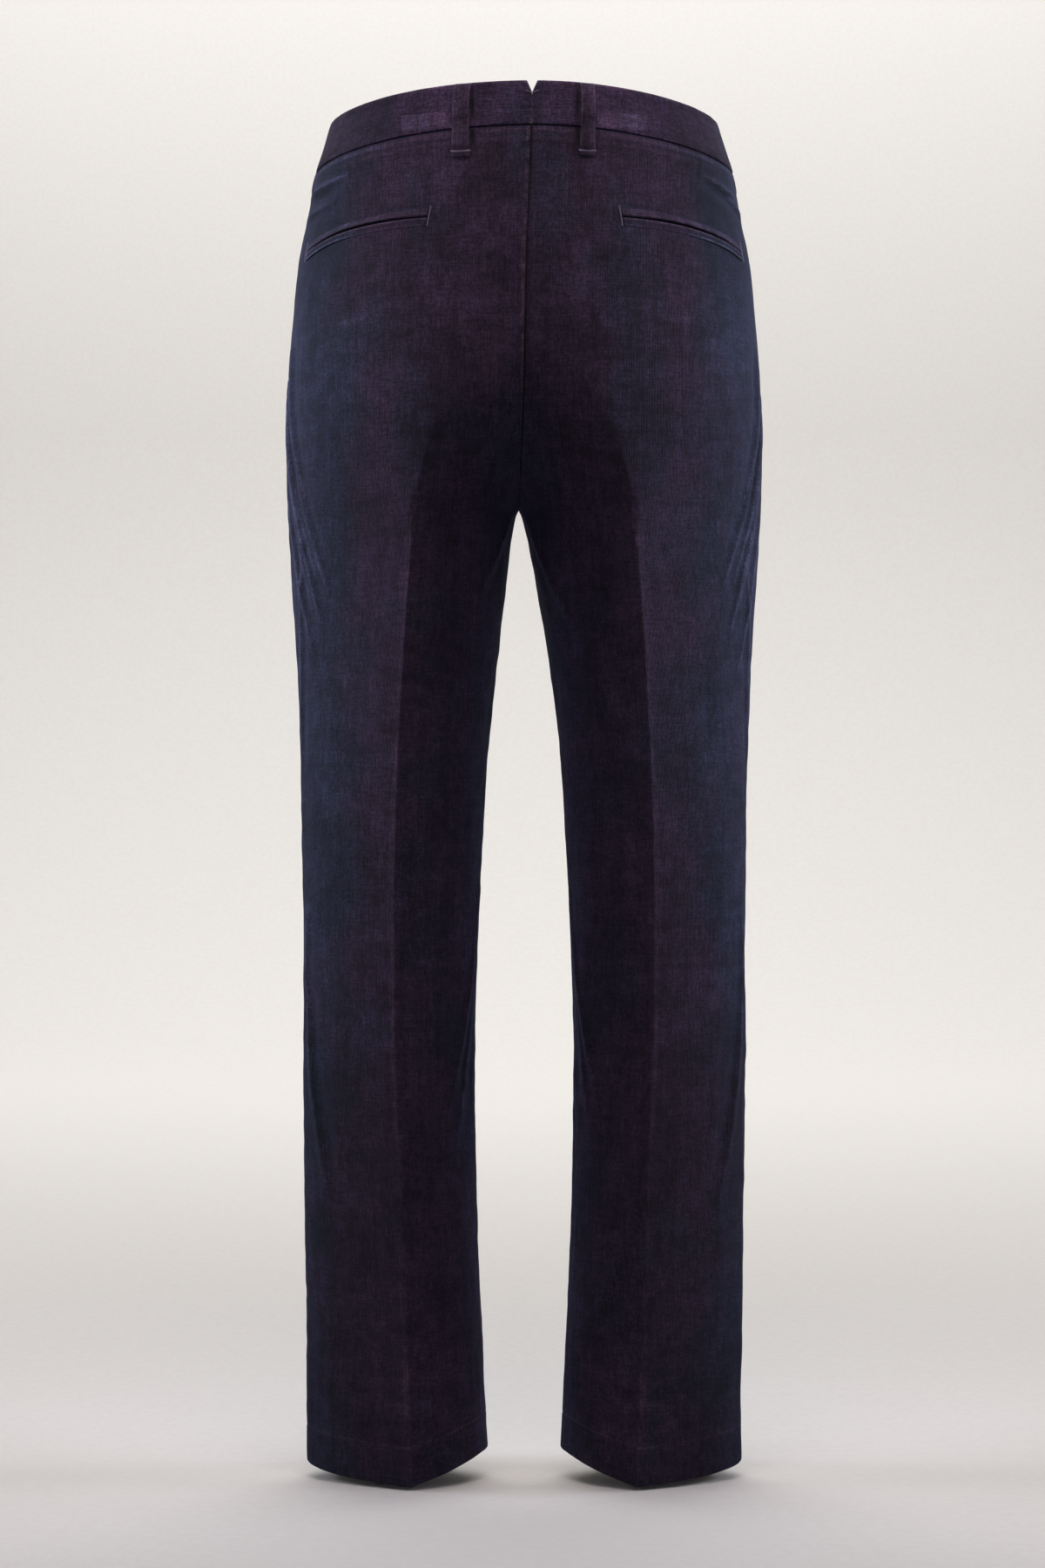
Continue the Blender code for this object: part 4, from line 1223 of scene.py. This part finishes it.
def notch_tack():
    """A short bowed row of thread across the foot of the notch."""
    band_height = SEAM - SEAM_RISE[BACK] + TOP_RISE[BACK]
    lines = []
    for side in (LEFT, RIGHT):
        away = np.linspace(0.0, 0.0048, 10)
        share = (NOTCH_DEPTH * 1.02 - 0.0016 * (away / 0.0048) ** 2) / band_height
        turn = QUARTER - away / SECTIONS[1].outer
        lines.append(row_on(lambda out: band_point(side, BACK, turn, share, out), 0.0003))
    return lines


BAR_ANGLE, NOTCH_ANGLE = math.radians(80), math.radians(78)  # across their rows
hem_rows = [hem_row(s, f) for _, s in SIDES for f in (BACK, FRONT)]
loop_tacks = [loop_tack(loop, s) for _, s in SIDES for loop in LOOPS]
pocket_tacks = [pocket_tack(s, share) for _, s in SIDES for share in (-0.012, 1.004)]
sew("seat_stitches", [seat_row()], STITCH, (0.00045, 0.00045, 0.0019), 0.0, DARK_THREAD)
sew("waistband_centre_stitches", [band_centre_row()], STITCH, (0.0004, 0.0004, 0.0018), 0.0, DARK_THREAD)
sew("hem_stitches", hem_rows, 0.0034, (0.0005, 0.0005, 0.0022), 0.0, DARK_THREAD)
sew("fly_stitches", [fly_row()], STITCH, (0.0005, 0.0005, 0.0020), 0.0, DARK_THREAD)
sew("belt_loop_bar_tacks", loop_tacks, TACK_PITCH, (0.00055, 0.00055, 0.0021), BAR_ANGLE, PALE_THREAD)
sew("pocket_bar_tacks", pocket_tacks, TACK_PITCH, (0.0005, 0.0005, 0.0015), BAR_ANGLE, PALE_THREAD)
sew("notch_bar_tack", notch_tack(), TACK_PITCH, (0.0005, 0.0005, 0.0013), NOTCH_ANGLE, PALE_THREAD)

# ---------------------------------------------------------------- button
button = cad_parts["front_button"]
button.material_slots[0].material = BUTTON_PLASTIC
low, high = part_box("front_button")
centre = Vector((BUTTON_X, low[1] + 0.0008, -BUTTON_DROP))
bars = []
for across in (-HOLE_SPACING / 2, HOLE_SPACING / 2):
    for strand in (-0.00035, 0.0, 0.00035):
        x, y = centre.x + across + strand, centre.y - 0.0002
        line = [(x, y, centre.z + z) for z in (-HOLE_SPACING / 2, HOLE_SPACING / 2)]
        bars.append((line, [(0, -1, 0)] * 2))
sew("button_thread", bars, 0.0026, (0.00045, 0.00045, 0.0040), 0.0, DARK_THREAD)

# ---------------------------------------------------------------- studio
FLOOR = CAD_BOX[0][2] - 0.003


def stage_floor():
    """A pale floor that sweeps up into a pale wall behind the trousers."""
    back, bend_radius = -3.4, 1.4
    profile = [(5.0, FLOOR), (back, FLOOR)]
    for i in range(1, 13):
        bend = QUARTER * i / 12
        profile.append((back - bend_radius * math.sin(bend), FLOOR + bend_radius * (1 - math.cos(bend))))
    profile.append((back - bend_radius, FLOOR + 6.0))
    points = [(x, y, z) for y, z in profile for x in (-8.0, 8.0)]
    faces = [(i, i + 1, i + 3, i + 2) for i in range(0, len(points) - 2, 2)]
    paper, tree, shader, place = new_material("studio_paper", {"Roughness": 0.9})
    specks = ranged(tree, noise_at(tree, place, 120.0, 3.0), 0.3, 0.7)
    tint = mixed(tree, specks, colour("#e0dcd7"), colour("#e3e0db"))
    tree.links.new(tint, shader.inputs["Base Color"])
    add_mesh("studio_floor", points, faces, paper)


stage_floor()


Softbox = namedtuple("Softbox", "name place target size watts spread tint")
SOFTBOXES = table(
    Softbox,
    ("left", (1.45, -0.05, -0.08), (0.0, 0.0, -0.32), (0.8, 0.8), 4.5, 72, "#eef0ff"),
    ("right", (-1.45, -0.05, -0.08), (0.0, 0.0, -0.32), (0.8, 0.8), 4.5, 72, "#eef0ff"),
    ("high", (0.0, 0.62, 0.75), (0.0, 0.10, -0.05), (1.0, 0.4), 3.5, 110, "#fff2f4"),
    ("wall", (0.0, -2.9, 3.2), (0.0, -4.0, 0.0), (6.0, 2.4), 200.0, 180, "#ffffff"),
)
for lamp in SOFTBOXES:
    light = bpy.data.lights.new(f"softbox_{lamp.name}", "AREA")
    light.shape = "RECTANGLE"
    light.size, light.size_y = lamp.size
    light.energy = lamp.watts
    light.color = colour(lamp.tint)[:3]
    light.spread = math.radians(lamp.spread)
    stand = place_object(light.name, light)
    stand.location = lamp.place
    stand.rotation_mode = "QUATERNION"
    stand.rotation_quaternion = (Vector(lamp.target) - Vector(lamp.place)).to_track_quat("-Z", "Y")

world = bpy.data.worlds.new("studio")
world.use_nodes = True
SKY_STRENGTH = 0.215
sky = world.node_tree.nodes["Background"]
sky.inputs[0].default_value = colour("#e6e6ee")
sky.inputs[1].default_value = SKY_STRENGTH
bpy.context.scene.world = world
bpy.context.scene.view_settings.view_transform = "Standard"

camera = place_object("camera", bpy.data.cameras.new("camera"))
camera.data.lens = 72.2
camera.data.sensor_width = 36.0
camera.location = (0.0014, 2.6, -0.5436)
camera.rotation_euler = (QUARTER, 0.0, math.pi)
bpy.context.scene.camera = camera
